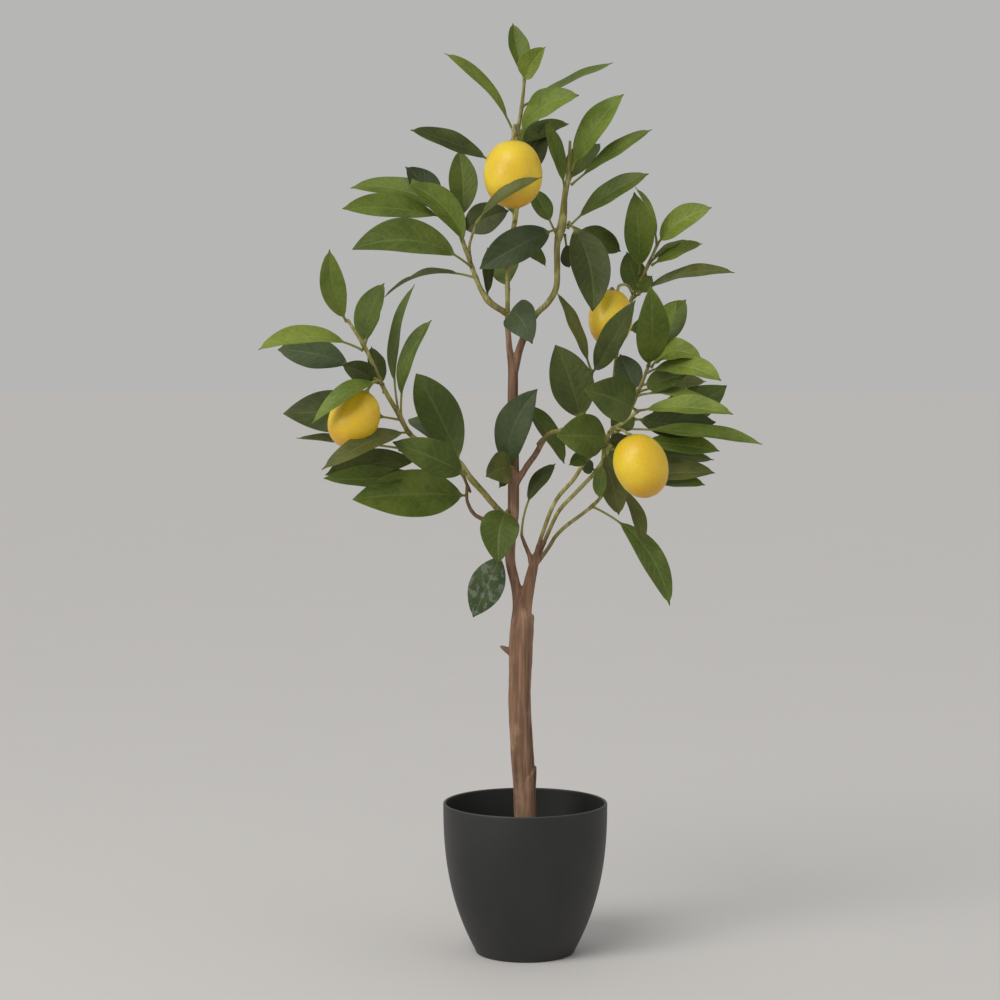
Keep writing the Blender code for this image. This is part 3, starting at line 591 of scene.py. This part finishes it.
def make_fine_grain():
    """Tiny pits or moulded grain with a soft broad cloud, for the peel, the plastic and the soil."""
    takes = {
        "Grain Size": 900.0, "Cloud Size": 30.0, "First": colour(0.5, 0.5, 0.5),
        "Second": colour(0.6, 0.6, 0.6), "Dull": 0.5, "Shine": 0.4,
    }
    tree, inner, place = start_group("fine_grain", takes)
    wires = {"Vector": place, "Scale": inner["Grain Size"]}
    cells = put(tree, "TexVoronoi", wires, feature="SMOOTH_F1").outputs["Distance"]
    pits = fade(tree, cells, 0.10, 0.42)
    speck = blotches(tree, place, inner["Grain Size"], 2.0, 0.5)
    cloud = blotches(tree, place, inner["Cloud Size"], 3.0, 0.5)
    tint = blend_colour(tree, fade(tree, cloud, 0.32, 0.68), inner["First"], inner["Second"])
    tint = blend_colour(tree, 1.0, tint, fade(tree, pits, 0.0, 1.0, 0.93, 1.03), "MULTIPLY")
    height = sum_of(tree, "MULTIPLY_ADD", speck, 0.5, pits)
    both = sum_of(tree, "MULTIPLY_ADD", speck, 0.4, sum_of(tree, "MULTIPLY", cloud, 0.6))
    mixed = fade(tree, both, 0.3, 0.7)
    span = sum_of(tree, "SUBTRACT", inner["Shine"], inner["Dull"])
    rough = sum_of(tree, "MULTIPLY_ADD", mixed, span, inner["Dull"])
    return close_group(tree, Colour=tint, Height=height, Roughness=rough)


leaf_veins = make_leaf_veins()
leaf_tint = make_leaf_tint()
bark_streaks = make_bark_streaks()
fine_grain = make_fine_grain()

# ---------------------------------------------------------------- materials

# Blade, lighter patches, ribs, underside, and how dull the upper face is.
# The dark green is partly the leaves' own deeper tone and partly painted shade for leaves deep in the
# crown.
LEAF_COLOURS = {
    "young": ((0.135, 0.185, 0.022), (0.195, 0.250, 0.036), (0.280, 0.340, 0.085),
              (0.170, 0.215, 0.055), 0.46),
    "bright": ((0.098, 0.145, 0.016), (0.145, 0.200, 0.027), (0.210, 0.255, 0.060),
               (0.140, 0.175, 0.048), 0.47),
    "mid": ((0.064, 0.095, 0.012), (0.096, 0.132, 0.020), (0.150, 0.190, 0.046),
            (0.105, 0.135, 0.038), 0.48),
    "olive": ((0.086, 0.098, 0.018), (0.122, 0.135, 0.030), (0.170, 0.185, 0.058),
              (0.130, 0.140, 0.052), 0.49),
    "blue": ((0.040, 0.060, 0.020), (0.062, 0.086, 0.033), (0.105, 0.130, 0.060),
             (0.090, 0.112, 0.056), 0.50),
    "dark": ((0.038, 0.052, 0.009), (0.058, 0.076, 0.015), (0.096, 0.115, 0.032),
             (0.078, 0.094, 0.032), 0.49),
}
LEAF_STALK = colour(0.230, 0.235, 0.055)
VEIN_DEPTH = 0.25 * MM


def make_leaf_material(name, greens, contrast=0.22):
    blade, patches, ribs, underside, dullness = greens
    made, tree, shader = start_material(name, Specular_IOR_Level=0.28)
    across, along = painted(tree, "across"), painted(tree, "along")
    veins = use_group(tree, leaf_veins, {"Across": across, "Along": along})
    tint = use_group(tree, leaf_tint, {
        "Blade": colour(*blade), "Patches": colour(*patches), "Rib Colour": colour(*ribs),
        "Underside": colour(*underside), "Stalk": LEAF_STALK, "Rib": veins["Rib"], "Veins": veins["Veins"],
        "Across": across, "Along": along, "Under": painted(tree, "underside"),
        "Tone": painted(tree, "tone"), "Vein Contrast": contrast, "Dullness": dullness,
    })
    return made, tree, shader, tint, veins


def leaf_material(name, greens):
    made, tree, shader, tint, veins = make_leaf_material(name, greens)
    dress(tree, shader, tint["Colour"], tint["Roughness"], veins["Height"], VEIN_DEPTH, 0.8)
    return made


def marbled_leaf_material():
    """The oldest leaf, low on the trunk, with pale marbling between its veins."""
    greens = LEAF_COLOURS["blue"]
    made, tree, shader, tint, veins = make_leaf_material("leaf_marbled", greens, 0.1)
    place = own_place(tree)
    marks = fade(tree, blotches(tree, stretched(tree, place, 1.0, 1.0, 0.7), 260.0, 3.0), 0.50, 0.60)
    share = sum_of(tree, "MULTIPLY", marks, 0.55)
    pale = blend_colour(tree, share, tint["Colour"], colour(0.190, 0.225, 0.175))
    dress(tree, shader, pale, tint["Roughness"], veins["Height"], VEIN_DEPTH, 0.8)
    return made


def trunk_material():
    made, tree, shader = start_material("trunk_bark_brown", Specular_IOR_Level=0.25)
    bark = use_group(tree, bark_streaks, {
        "Dark": colour(0.155, 0.086, 0.052), "Middle": colour(0.235, 0.136, 0.084),
        "Light": colour(0.300, 0.180, 0.115), "Patch Size": 45.0, "Fibre Size": 520.0, "Stretch": 0.06})
    dress(tree, shader, bark["Colour"], bark["Roughness"], bark["Height"], 0.5 * MM, 0.9)
    return made


def shoot_material():
    """Yellow-green bark that is brown where it is old and where leaves join it."""
    made, tree, shader = start_material("shoot_bark_green", Specular_IOR_Level=0.3)
    green = use_group(tree, bark_streaks, {
        "Dark": colour(0.190, 0.178, 0.046), "Middle": colour(0.290, 0.272, 0.085),
        "Light": colour(0.400, 0.375, 0.155), "Patch Size": 60.0, "Fibre Size": 700.0, "Stretch": 0.10})
    brown = use_group(tree, bark_streaks, {
        "Dark": colour(0.075, 0.050, 0.020), "Middle": colour(0.130, 0.095, 0.035),
        "Light": colour(0.200, 0.150, 0.060), "Patch Size": 90.0, "Fibre Size": 900.0, "Stretch": 0.10})
    joints = fade(tree, painted(tree, "joint"), 0.35, 0.95, 0.0, 0.75)
    old = fade(tree, painted(tree, "age"), 0.2, 1.0, 0.0, 0.85)
    share = sum_of(tree, "MAXIMUM", joints, old)
    tint = blend_colour(tree, share, green["Colour"], brown["Colour"])
    dress(tree, shader, tint, green["Roughness"], green["Height"], 0.2 * MM, 0.8)
    return made


def peel_material():
    made, tree, shader = start_material("lemon_peel_yellow", Specular_IOR_Level=0.5, Coat_Weight=0.15,
                                        Coat_Roughness=0.35)
    grain = use_group(tree, fine_grain, {
        "Grain Size": 750.0, "Cloud Size": 36.0, "First": colour(0.740, 0.470, 0.012),
        "Second": colour(0.820, 0.600, 0.026), "Dull": 0.44, "Shine": 0.36})
    # The lower half of the peel is tinted orange: painted shade under the fruit.
    lower_shade = fade(tree, painted(tree, "lower_shade"), 0.0, 1.0, 0.0, 0.75)
    warm = blend_colour(tree, lower_shade, grain["Colour"], colour(0.620, 0.310, 0.010))
    ends = fade(tree, painted(tree, "end"), 0.55, 1.0, 0.0, 0.5)
    tint = blend_colour(tree, ends, warm, colour(0.420, 0.280, 0.016))
    dress(tree, shader, tint, grain["Roughness"], grain["Height"], 0.16 * MM, 0.6)
    return made


def plastic_material():
    """Satin charcoal plastic with a fine moulded grain and a paler rim, a painted glint of light along it.
    """
    made, tree, shader = start_material("pot_charcoal_plastic", Specular_IOR_Level=0.45)
    grain = use_group(tree, fine_grain, {
        "Grain Size": 2600.0, "Cloud Size": 14.0, "First": colour(0.0140, 0.0145, 0.0138),
        "Second": colour(0.0205, 0.0208, 0.0190), "Dull": 0.56, "Shine": 0.47})
    place = own_place(tree)
    level = put(tree, "SeparateXYZ", {0: place}).outputs[2]
    # The top of the rim is painted paler: a painted highlight for the glint of light along it.
    rim = fade(tree, level, POT_HEIGHT - 0.9 * MM, POT_HEIGHT - 0.1 * MM, 0.0, 0.5)
    tint = blend_colour(tree, rim, grain["Colour"], colour(0.085, 0.080, 0.072))
    dress(tree, shader, tint, grain["Roughness"], grain["Height"], 0.05 * MM, 0.5)
    return made


def compost_material():
    made, tree, shader = start_material("soil_dark_compost", Specular_IOR_Level=0.2)
    grain = use_group(tree, fine_grain, {
        "Grain Size": 420.0, "Cloud Size": 160.0, "First": colour(0.016, 0.010, 0.006),
        "Second": colour(0.045, 0.028, 0.017), "Dull": 0.98, "Shine": 0.86})
    place = own_place(tree)
    flecks = fade(tree, blotches(tree, place, 700.0, 1.0), 0.66, 0.72, 0.0, 0.6)
    tint = blend_colour(tree, flecks, grain["Colour"], colour(0.110, 0.078, 0.045))
    dress(tree, shader, tint, grain["Roughness"], grain["Height"], 0.6 * MM, 0.9)
    return made


LEAF_MATERIALS = {label: leaf_material("leaf_green_" + label, row) for label, row in LEAF_COLOURS.items()}
marbled = marbled_leaf_material()
trunk_bark = trunk_material()
shoot_bark = shoot_material()
peel = peel_material()
plastic = plastic_material()
compost = compost_material()

# ---------------------------------------------------------------- pot and soil


def pot_radius(z):
    """Radius of the pot's outside at height z."""
    share = 1 - (1 - min(z / POT_HEIGHT, 1.0)) ** POT_CURVE
    return POT_BASE_RADIUS + (POT_RIM_RADIUS - POT_BASE_RADIUS) * share


def make_pot():
    """A thin-walled moulded cup: flat underside, rounded foot, swelling side, rolled rim."""
    foot, lip, rim_wall = 2.2 * MM, 1.0 * MM, 2.2 * MM
    below_lip = POT_HEIGHT - 2 * lip
    outline = [(0, 0.6 * MM), (20 * MM, 0.6 * MM), (30 * MM, 0.5 * MM), (31 * MM, 0), (33.5 * MM, 0)]
    for k in range(9):
        angle = math.radians(90 * k / 8)
        reach = pot_radius(foot) - foot
        outline.append((reach + foot * math.sin(angle), foot - foot * math.cos(angle)))
    for k in range(1, 44):
        z = foot + (POT_HEIGHT - lip - foot) * k / 43
        outline.append((pot_radius(z), z))
    for k in range(1, 6):
        angle = math.radians(90 * k / 5)
        reach = POT_RIM_RADIUS - lip + lip * math.cos(angle)
        outline.append((reach, POT_HEIGHT - lip + lip * math.sin(angle)))
    for k in range(6):
        angle = math.radians(90 * k / 5)
        reach = POT_RIM_RADIUS - rim_wall + lip - lip * math.sin(angle)
        outline.append((reach, POT_HEIGHT - lip + lip * math.cos(angle)))
    for k in range(31):
        z = below_lip - (below_lip - POT_FLOOR) * k / 30
        wall = rim_wall + (POT_WALL - rim_wall) * min(k / 6, 1.0)
        outline.append((pot_radius(z) - wall, z))
    outline.append((0, POT_FLOOR))
    bm = bmesh.new()
    turned(bm, outline, 160)
    finished("pot_shell", to_mesh(bm), plastic, ["pot"])


def soil_height(x, y):
    """Lumps and hollows of the compost, a little heaped against the trunk."""
    lumps = noise.fractal(Vector((x * 70, y * 70, 3.1)), 1.0, 2.0, 4) * 1.5 * MM
    pebbles = abs(noise.noise(Vector((x * 330, y * 330, 7.7)))) * 1.3 * MM
    heap = 2.5 * MM * math.exp(-((math.hypot(x, y) / (17 * MM)) ** 2))
    return SOIL_TOP - 1.2 * MM + lumps + pebbles + heap


def make_soil():
    """Compost that fills the pot, its top broken into lumps."""
    sides, steps = 120, 46
    edge = pot_radius(SOIL_TOP) - POT_WALL - SOIL_GAP
    shoulder = SOIL_TOP - 4 * MM
    bm = bmesh.new()
    middle = bm.verts.new((0, 0, soil_height(0, 0)))
    rings = []
    for k in range(1, steps + 1):
        places = circle(edge * k / steps, sides)
        rings.append([bm.verts.new((x, y, soil_height(x, y))) for x, y in places])
    for k in range(1, 13):
        z = shoulder - (shoulder - SOIL_FLOOR) * k / 12
        places = circle(pot_radius(z) - POT_WALL - SOIL_GAP, sides)
        rings.append([bm.verts.new((x, y, z)) for x, y in places])
    skin(bm, rings, start_cap=False)
    for j in range(sides):
        bm.faces.new((middle, rings[0][j], rings[0][(j + 1) % sides]))
    finished("soil_fill", to_mesh(bm), compost, ["soil"])


def make_crumbs(count, seed):
    """Loose crumbs of compost lying on the surface, as one piece."""
    rng = random.Random(seed)
    bm = bmesh.new()
    reach = pot_radius(SOIL_TOP) - POT_WALL - 4 * MM
    for _ in range(count):
        away = reach * math.sqrt(rng.uniform(0.03, 1.0))
        angle = rng.uniform(0, math.tau)
        size = rng.uniform(0.6, 2.0) * MM
        x, y = away * math.cos(angle), away * math.sin(angle)
        made = bmesh.ops.create_icosphere(bm, subdivisions=2, radius=size)["verts"]
        shift = rng.uniform(0, 100)
        squash = Vector((rng.uniform(0.7, 1.4), rng.uniform(0.7, 1.4), rng.uniform(0.5, 0.9)))
        for vert in made:
            rough = 1 + 0.55 * noise.noise(vert.co * (0.9 / size) + Vector((shift, 0, 0)))
            vert.co = Vector([c * s for c, s in zip(vert.co * rough, squash)])
        place = Matrix.Translation((x, y, soil_height(x, y) + size * 0.25)) @ Matrix.Rotation(shift, 4, "Z")
        bmesh.ops.transform(bm, matrix=place, verts=made)
    finished("soil_crumbs", to_mesh(bm), compost)


make_pot()
make_soil()
make_crumbs(420, 11)

# ---------------------------------------------------------------- trunk and shoots


def fused(bm, voxel, smoothing):
    """Overlapping rods melted into one skin."""
    mesh = to_mesh(bm)
    holder = bpy.data.objects.new("melting", mesh)
    bpy.context.collection.objects.link(holder)
    melt = holder.modifiers.new("melt", "REMESH")
    melt.mode = "VOXEL"
    melt.voxel_size = voxel
    soften = holder.modifiers.new("soften", "SMOOTH")
    soften.factor = 0.5
    soften.iterations = smoothing
    bpy.context.view_layer.update()
    graph = bpy.context.evaluated_depsgraph_get()
    result = bpy.data.meshes.new_from_object(holder.evaluated_get(graph))
    bpy.data.objects.remove(holder)
    bpy.data.meshes.remove(mesh)
    return result


def bark_shape(here, normal):
    """How far the bark stands out at a point of the trunk."""
    z = (here.z - COLLAR) / MM
    long_ridges = noise.noise(Vector((here.x * 330, here.y * 330, here.z * 16)))
    creases = abs(noise.noise(Vector((here.x * 480 + 9, here.y * 480, here.z * 26))))
    lumps = noise.noise(Vector((here.x * 60, here.y * 60 + 4, here.z * 34)))
    out = 0.42 * long_ridges - 0.55 * (0.35 - creases) * (creases < 0.35) + 0.5 * lumps
    thick = ease(185 - z, 0, 20)
    # A lifted edge of bark low on the right, cut off along a slanting line.
    slant = 48 - 14 * (1 - max(min(normal.x, 1), -1))
    flap = ease(z, slant - 26, slant) * (1 - ease(z, slant, slant + 1.4)) * ease(normal.x, 0.1, 0.8)
    # The thicker lower bark ends in a small torn edge on the right.
    torn = ease(z, 160, 168) * (1 - ease(z, 168.5, 170)) * ease(normal.x, 0.3, 0.9)
    return (out * (0.35 + 0.65 * thick) + 1.5 * flap + 1.3 * torn) * MM


def make_trunk():
    """Trunk and woody branches grown together, with lengthways ridges in the bark."""
    bm = bmesh.new()
    foot = [(0, 0, -40, 7.9), (0, 0, -22, 8.6), (0, 0, -6, 8.8)]
    round_rod(bm, placed(smooth_line(foot + TRUNK, 5)), 28, 0.05, 1.0)
    for k, branch in enumerate(BRANCHES):
        round_rod(bm, placed(smooth_line(branch, 5)), 18, 0.10, 5.0 * k)
    mesh = fused(bm, 0.75 * MM, 5)
    normals = [vert.normal.copy() for vert in mesh.vertices]
    for vert, normal in zip(mesh.vertices, normals):
        vert.co += normal * bark_shape(vert.co, normal)
    finished("trunk_wood", mesh, trunk_bark, ["trunk"])


# Where every leaf leaves its shoot.
JOINTS = [spot(*row[0]) for row in [*LEAVES.values(), *FILLERS.values()]]


def make_shoot(name, rows, old_length, stands_for=(), first_step_back=7 * MM):
    """A green shoot, a little swollen at each leaf, that starts inside the wood it grew from."""
    line = [(centre, radius * SHOOT_GIRTH) for centre, radius in placed(smooth_line(rows, 7))]
    back = (line[0][0] - line[1][0]).normalized() * first_step_back
    line = [(line[0][0] + back, line[0][1] * 0.8), (line[0][0] + back * 0.5, line[0][1])] + line
    shaped = []
    for centre, radius in line:
        nearest = min((centre - joint).length for joint in JOINTS)
        shaped.append((centre, radius * (1 + 0.20 * math.exp(-((nearest / (3.0 * MM)) ** 2)))))
    bm = bmesh.new()
    round_rod(bm, shaped, 14, 0.08, len(rows) * 3.7)
    mesh = to_mesh(bm)
    start = line[0][0]
    ages, joints = [], []
    for vert in mesh.vertices:
        ages.append(max(1 - (vert.co - start).length / old_length, 0.0))
        nearest = min((vert.co - joint).length for joint in JOINTS)
        joints.append(math.exp(-((nearest / (3.2 * MM)) ** 2)))
    paint_value(mesh, "age", ages)
    paint_value(mesh, "joint", joints)
    finished(name, mesh, shoot_bark, stands_for)


make_trunk()
for shoot_name, shoot_rows in SHOOTS.items():
    make_shoot(shoot_name + "_stem", shoot_rows, 40 * MM, [shoot_name])
make_shoot("shoot_front_twig", FRONT_TWIG, 4 * MM, first_step_back=3 * MM)

# ---------------------------------------------------------------- lemons


def lemon_radius(share, width):
    """Radius of a lemon at a share of its length, from the tip to the stalk end."""
    angle = math.pi * share
    body = math.sin(angle) ** 0.90
    tip = 0.20 * math.exp(-(((share - 0.045) / 0.05) ** 2))
    neck = 0.05 * math.exp(-(((share - 0.955) / 0.03) ** 2))
    return width / 2 * (body * (1 - 0.22 * math.exp(-((share / 0.11) ** 2))) + tip * 0.25 + neck * 0.2)


# How deep a crease runs down a lemon from its stalk, as a share of its radius, and on which side.
LEMON_CLEFTS = {"lemon_left": (0.11, (-0.30, -1, 0)), "lemon_upper_right": (0.05, (-0.4, -1, 0))}


def make_lemon(name, row, seed):
    """A lemon with its nipple, dimpled peel and shallow furrows, then its calyx and stalk."""
    middle, width, length, up, stalk = row
    middle = spot(*middle)
    axis = Vector(up).normalized()
    turn = axis.to_track_quat("Z", "Y").to_matrix().to_4x4()
    width, length = width * MM, length * MM
    outline = [(0, -length / 2)]
    steps = 54
    for k in range(1, steps):
        share = (1 - math.cos(math.pi * k / steps)) / 2
        reach = lemon_radius(math.acos(1 - 2 * share) / math.pi, width)
        outline.append((reach, length * (share - 0.5)))
    outline.append((0, length / 2 - 0.8 * MM))
    bm = bmesh.new()
    turned(bm, outline, 72)
    cleft_depth, cleft_side = LEMON_CLEFTS.get(name, (0.0, (0, -1, 0)))
    cleft_side = turn.inverted() @ Vector(cleft_side)
    cleft_angle = math.atan2(cleft_side.y, cleft_side.x)
    for vert in bm.verts:
        along = vert.co.z / (length / 2)
        angle = math.atan2(vert.co.y, vert.co.x)
        furrow = 0.010 * math.sin(5 * angle + seed) * ease(abs(along), 0.45, 0.95)
        wobble = 0.030 * noise.noise(vert.co * 38 + Vector((seed * 7.0, 0, 0)))
        dimple = 0.004 * noise.noise(vert.co * 420)
        off = math.remainder(angle - cleft_angle, math.tau)
        cleft = cleft_depth * math.exp(-((off / 0.30) ** 2)) * ease(along, -0.35, 0.75)
        swell = 1 + furrow + wobble + dimple - cleft
        vert.co.x *= swell
        vert.co.y *= swell
    bm.transform(Matrix.Translation(middle) @ turn)
    mesh = to_mesh(bm)
    heights = [(vert.co - middle).dot(axis) / (length / 2) for vert in mesh.vertices]
    paint_value(mesh, "end", [ease(abs(height), 0.86, 1.0) for height in heights])
    # Painted shade: 0 at the middle, rising to 1 at the lower tip, for the orange tint in the peel.
    paint_value(mesh, "lower_shade", [ease(-height, 0.0, 1.0) for height in heights])
    finished(name + "_fruit", mesh, peel, [name])
    make_calyx(name + "_calyx", middle + axis * (length / 2 - 1.2 * MM), turn, seed)
    rows = [spot(*point) for point in stalk]
    back = (rows[0] - rows[1]).normalized() * 3 * MM
    points = [rows[0] + back, *rows, middle + axis * (length / 2 - 1.5 * MM)]
    line = [(Vector(row[:3]), row[3]) for row in smooth_line([(*p, 1.15 * MM) for p in points], 8)]
    bm = bmesh.new()
    round_rod(bm, line, 12, 0.12, seed)
    mesh = to_mesh(bm)
    paint_value(mesh, "age", [0.0] * len(mesh.vertices))
    away = [(vert.co - points[0]).length for vert in mesh.vertices]
    paint_value(mesh, "joint", [math.exp(-((reach / (5 * MM)) ** 2)) for reach in away])
    finished(name + "_fruit_stalk", mesh, shoot_bark)


def make_calyx(name, place, turn, seed):
    """The five-pointed green cap between fruit and stalk."""
    bm = bmesh.new()
    profile = [(0, -1.0), (1.6, -0.9), (2.9, -0.3), (3.7, 0.2), (3.6, 0.7), (2.6, 1.1), (1.7, 1.9),
               (1.2, 3.0), (0, 3.2)]
    turned(bm, [(radius * MM, z * MM) for radius, z in profile], 40)
    for vert in bm.verts:
        away = math.hypot(vert.co.x, vert.co.y)
        angle = math.atan2(vert.co.y, vert.co.x)
        lobe = 1 + 0.30 * ease(away, 1.8 * MM, 3.7 * MM) * math.cos(5 * angle + seed)
        vert.co.x *= lobe
        vert.co.y *= lobe
        vert.co.z -= 0.6 * MM * ease(away, 2.2 * MM, 4.6 * MM)
    bm.transform(Matrix.Translation(place) @ turn)
    mesh = to_mesh(bm)
    paint_value(mesh, "age", [0.0] * len(mesh.vertices))
    paint_value(mesh, "joint", [0.45] * len(mesh.vertices))
    finished(name, mesh, shoot_bark)


for count, (lemon_name, lemon_row) in enumerate(LEMONS.items()):
    make_lemon(lemon_name, lemon_row, 1.3 + count)

# ---------------------------------------------------------------- leaves

LEAF_STATIONS = 26
STALK_STATIONS = 6
# Places across the blade, closer together at the midrib and the margins.
ACROSS = [-1.0, -0.94, -0.78, -0.55, -0.30, -0.12, -0.04, 0.04, 0.12, 0.30, 0.55, 0.78, 0.94, 1.0]


def leaf_half_width(share, width, length):
    """Half the blade's width at a share of its length. Slim leaves taper more towards the stalk."""
    slim = min(max((0.50 - width / length) / 0.22, 0.0), 1.0)
    foot = 0.78 + 0.27 * slim
    peak = foot / (foot + 0.95)
    return width / 2 * (share / peak) ** foot * (max(1 - share, 0.0) / (1 - peak)) ** 0.95


def leaf_spine(row):
    """The midrib's point as a function of t, the way the blade faces, and its length."""
    base, tip = spot(*row[0]), spot(*row[1])
    turn, rise, out = math.radians(row[3]), row[4] * MM, row[5] * MM
    along = (tip - base).normalized()
    forward = (FRONT - along * FRONT.dot(along)).normalized()
    upward = along.cross(forward)
    if upward.z < 0:
        upward = -upward
    face = forward * math.cos(turn) + upward * math.sin(turn)

    def point(t):
        bulge = 4 * t * (1 - t)
        return base.lerp(tip, t) + upward * rise * bulge + forward * out * bulge

    return point, face, (tip - base).length


def make_leaf(name, row, seed, stands_for=()):
    """A cupped, gently waved blade on a round stalk."""
    rng = random.Random(seed)
    width, fold, stalk = row[2] * MM, math.radians(row[6]), row[7] * MM
    twist = math.radians(rng.uniform(-14, 14))
    wave, waves, phase = rng.uniform(0.03, 0.09), rng.uniform(1.2, 2.4), rng.uniform(0, math.tau)
    curl = rng.uniform(-0.10, 0.16)
    tone = rng.uniform(0.15, 0.85)
    point, face, length = leaf_spine(row)
    blade = stalk / length
    stations = [blade * k / STALK_STATIONS for k in range(STALK_STATIONS)]
    stations += [blade + (1 - blade) * (k / LEAF_STATIONS) ** 1.12 for k in range(LEAF_STATIONS + 1)]
    half_thick, count = 0.28 * MM, len(ACROSS)
    bm = bmesh.new()
    rings, marks = [], []
    for t in stations:
        share = max((t - blade) / (1 - blade), 0.0)
        here = point(t)
        ahead = (point(t + 0.01) - point(t - 0.01)).normalized()
        up = (face - ahead * face.dot(ahead)).normalized()
        up = Matrix.Rotation(twist * (share - 0.4), 3, ahead) @ up
        side = up.cross(ahead)
        half = leaf_half_width(share, width, length)
        stem = (0.85 + 0.45 * math.exp(-t * length / (2.5 * MM))) * MM * (1 - 0.72 * share)
        opened = ease(half, 0.5 * MM, 3.2 * MM)
        ring = []
        for lower in (False, True):
            for k in range(count):
                u = ACROSS[k] if not lower else ACROSS[-1 - k]
                lift = half * (math.sqrt(u * u + 0.01) - 0.1) * math.sin(fold)
                lift += half * curl * abs(u) ** 3
                ripple = math.sin(math.tau * waves * share + phase + (1.9 if u < 0 else 0.0))
                lift += half * wave * ripple * u * u * ease(share, 0.0, 0.25)
                thick = half_thick * (1 - 0.55 * abs(u) ** 3)
                ridge = stem * 0.8 * math.exp(-((u * half / (0.9 * MM)) ** 2))
                drop = -(thick + ridge) if lower else thick - 0.25 * ridge
                flat = here + side * u * half * math.cos(fold) + up * (lift + drop)
                angle = math.pi * (0.96 - 0.92 * k / (count - 1))
                if lower:
                    angle = -math.pi * (0.04 + 0.92 * k / (count - 1))
                rod = here + (side * math.cos(angle) + up * math.sin(angle)) * stem
                ring.append(bm.verts.new(rod.lerp(flat, opened)))
                marks.append((u, share if t >= blade else t / blade - 1, 1.0 if lower else 0.0))
        rings.append(ring)
    skin(bm, rings)
    mesh = to_mesh(bm)
    for label, values in zip(("across", "along", "underside"), zip(*marks)):
        paint_value(mesh, label, values)
    paint_value(mesh, "tone", [tone] * len(marks))
    finish = marbled if name == "leaf_low_2_blade" else LEAF_MATERIALS[row[8]]
    finished(name, mesh, finish, stands_for)


for count, (leaf_name, leaf_row) in enumerate(LEAVES.items()):
    make_leaf(leaf_name + "_blade", leaf_row, 100 + count, [leaf_name])
for count, (leaf_name, leaf_row) in enumerate(FILLERS.items()):
    make_leaf(leaf_name + "_blade", leaf_row, 300 + count)

# ---------------------------------------------------------------- floor, light, camera


def make_floor():
    """A plain pale table top, far larger than the pot."""
    bm = bmesh.new()
    bmesh.ops.create_grid(bm, x_segments=8, y_segments=8, size=12.0)
    mesh = to_mesh(bm)
    made, tree, shader = start_material("floor_pale", Roughness=0.7, Specular_IOR_Level=0.2)
    place = own_place(tree)
    tint = blend_colour(tree, fade(tree, blotches(tree, place, 6.0), 0.3, 0.7), colour(0.653, 0.638, 0.618),
                        colour(0.659, 0.644, 0.624))
    tree.links.new(tint, shader.inputs["Base Color"])
    mesh.materials.append(made)
    floor = bpy.data.objects.new("floor", mesh)
    bpy.context.collection.objects.link(floor)
    floor.location.z = -0.2 * MM


def hang(lamp, direction):
    """Puts a lamp in the scene, pointed along a direction."""
    holder = bpy.data.objects.new(lamp.name, lamp)
    holder.rotation_euler = Vector(direction).to_track_quat("-Z", "Y").to_euler()
    bpy.context.collection.objects.link(holder)
    return holder


def soft_light(name, place, aim, width, height, power, tint=(1, 1, 1)):
    """A rectangular studio light pointed at a place."""
    lamp = bpy.data.lights.new(name, "AREA")
    lamp.shape = "RECTANGLE"
    lamp.size, lamp.size_y = width, height
    lamp.energy = power
    lamp.color = tint
    hang(lamp, Vector(aim) - Vector(place)).location = place


def high_sun(name, direction, strength, softness):
    """Wide, even light from high on one side."""
    lamp = bpy.data.lights.new(name, "SUN")
    lamp.energy = strength
    lamp.angle = math.radians(softness)
    lamp.color = (1.0, 0.985, 0.96)
    hang(lamp, direction)


def make_surroundings(strength):
    """An even pale surround."""
    world = bpy.data.worlds.new("pale_surround")
    world.use_nodes = True
    sky = world.node_tree.nodes["Background"]
    sky.inputs["Color"].default_value = colour(0.76, 0.755, 0.75)
    sky.inputs["Strength"].default_value = strength
    bpy.context.scene.world = world


make_floor()
make_surroundings(0.62)
crown = (0, 0, 0.42)
high_sun("key_light", (0.55, 0.75, -1.0), 1.15, 38)
soft_light("side_light", (-1.7, -1.3, 1.0), crown, 0.9, 0.9, 13, (1.0, 0.98, 0.95))
soft_light("fill_light", (1.9, -1.2, 0.9), crown, 1.4, 1.4, 4, (0.96, 0.98, 1.0))

view = bpy.data.cameras.new("view")
view.lens = 101.05
view.sensor_width = 36.0
camera = bpy.data.objects.new("view", view)
camera.location = (-0.020, -2.200, 0.527)
camera.rotation_euler = (math.radians(90) - math.atan(0.167 / 2.2), 0, 0)
bpy.context.collection.objects.link(camera)
bpy.context.scene.camera = camera
bpy.context.scene.view_settings.view_transform = "Standard"
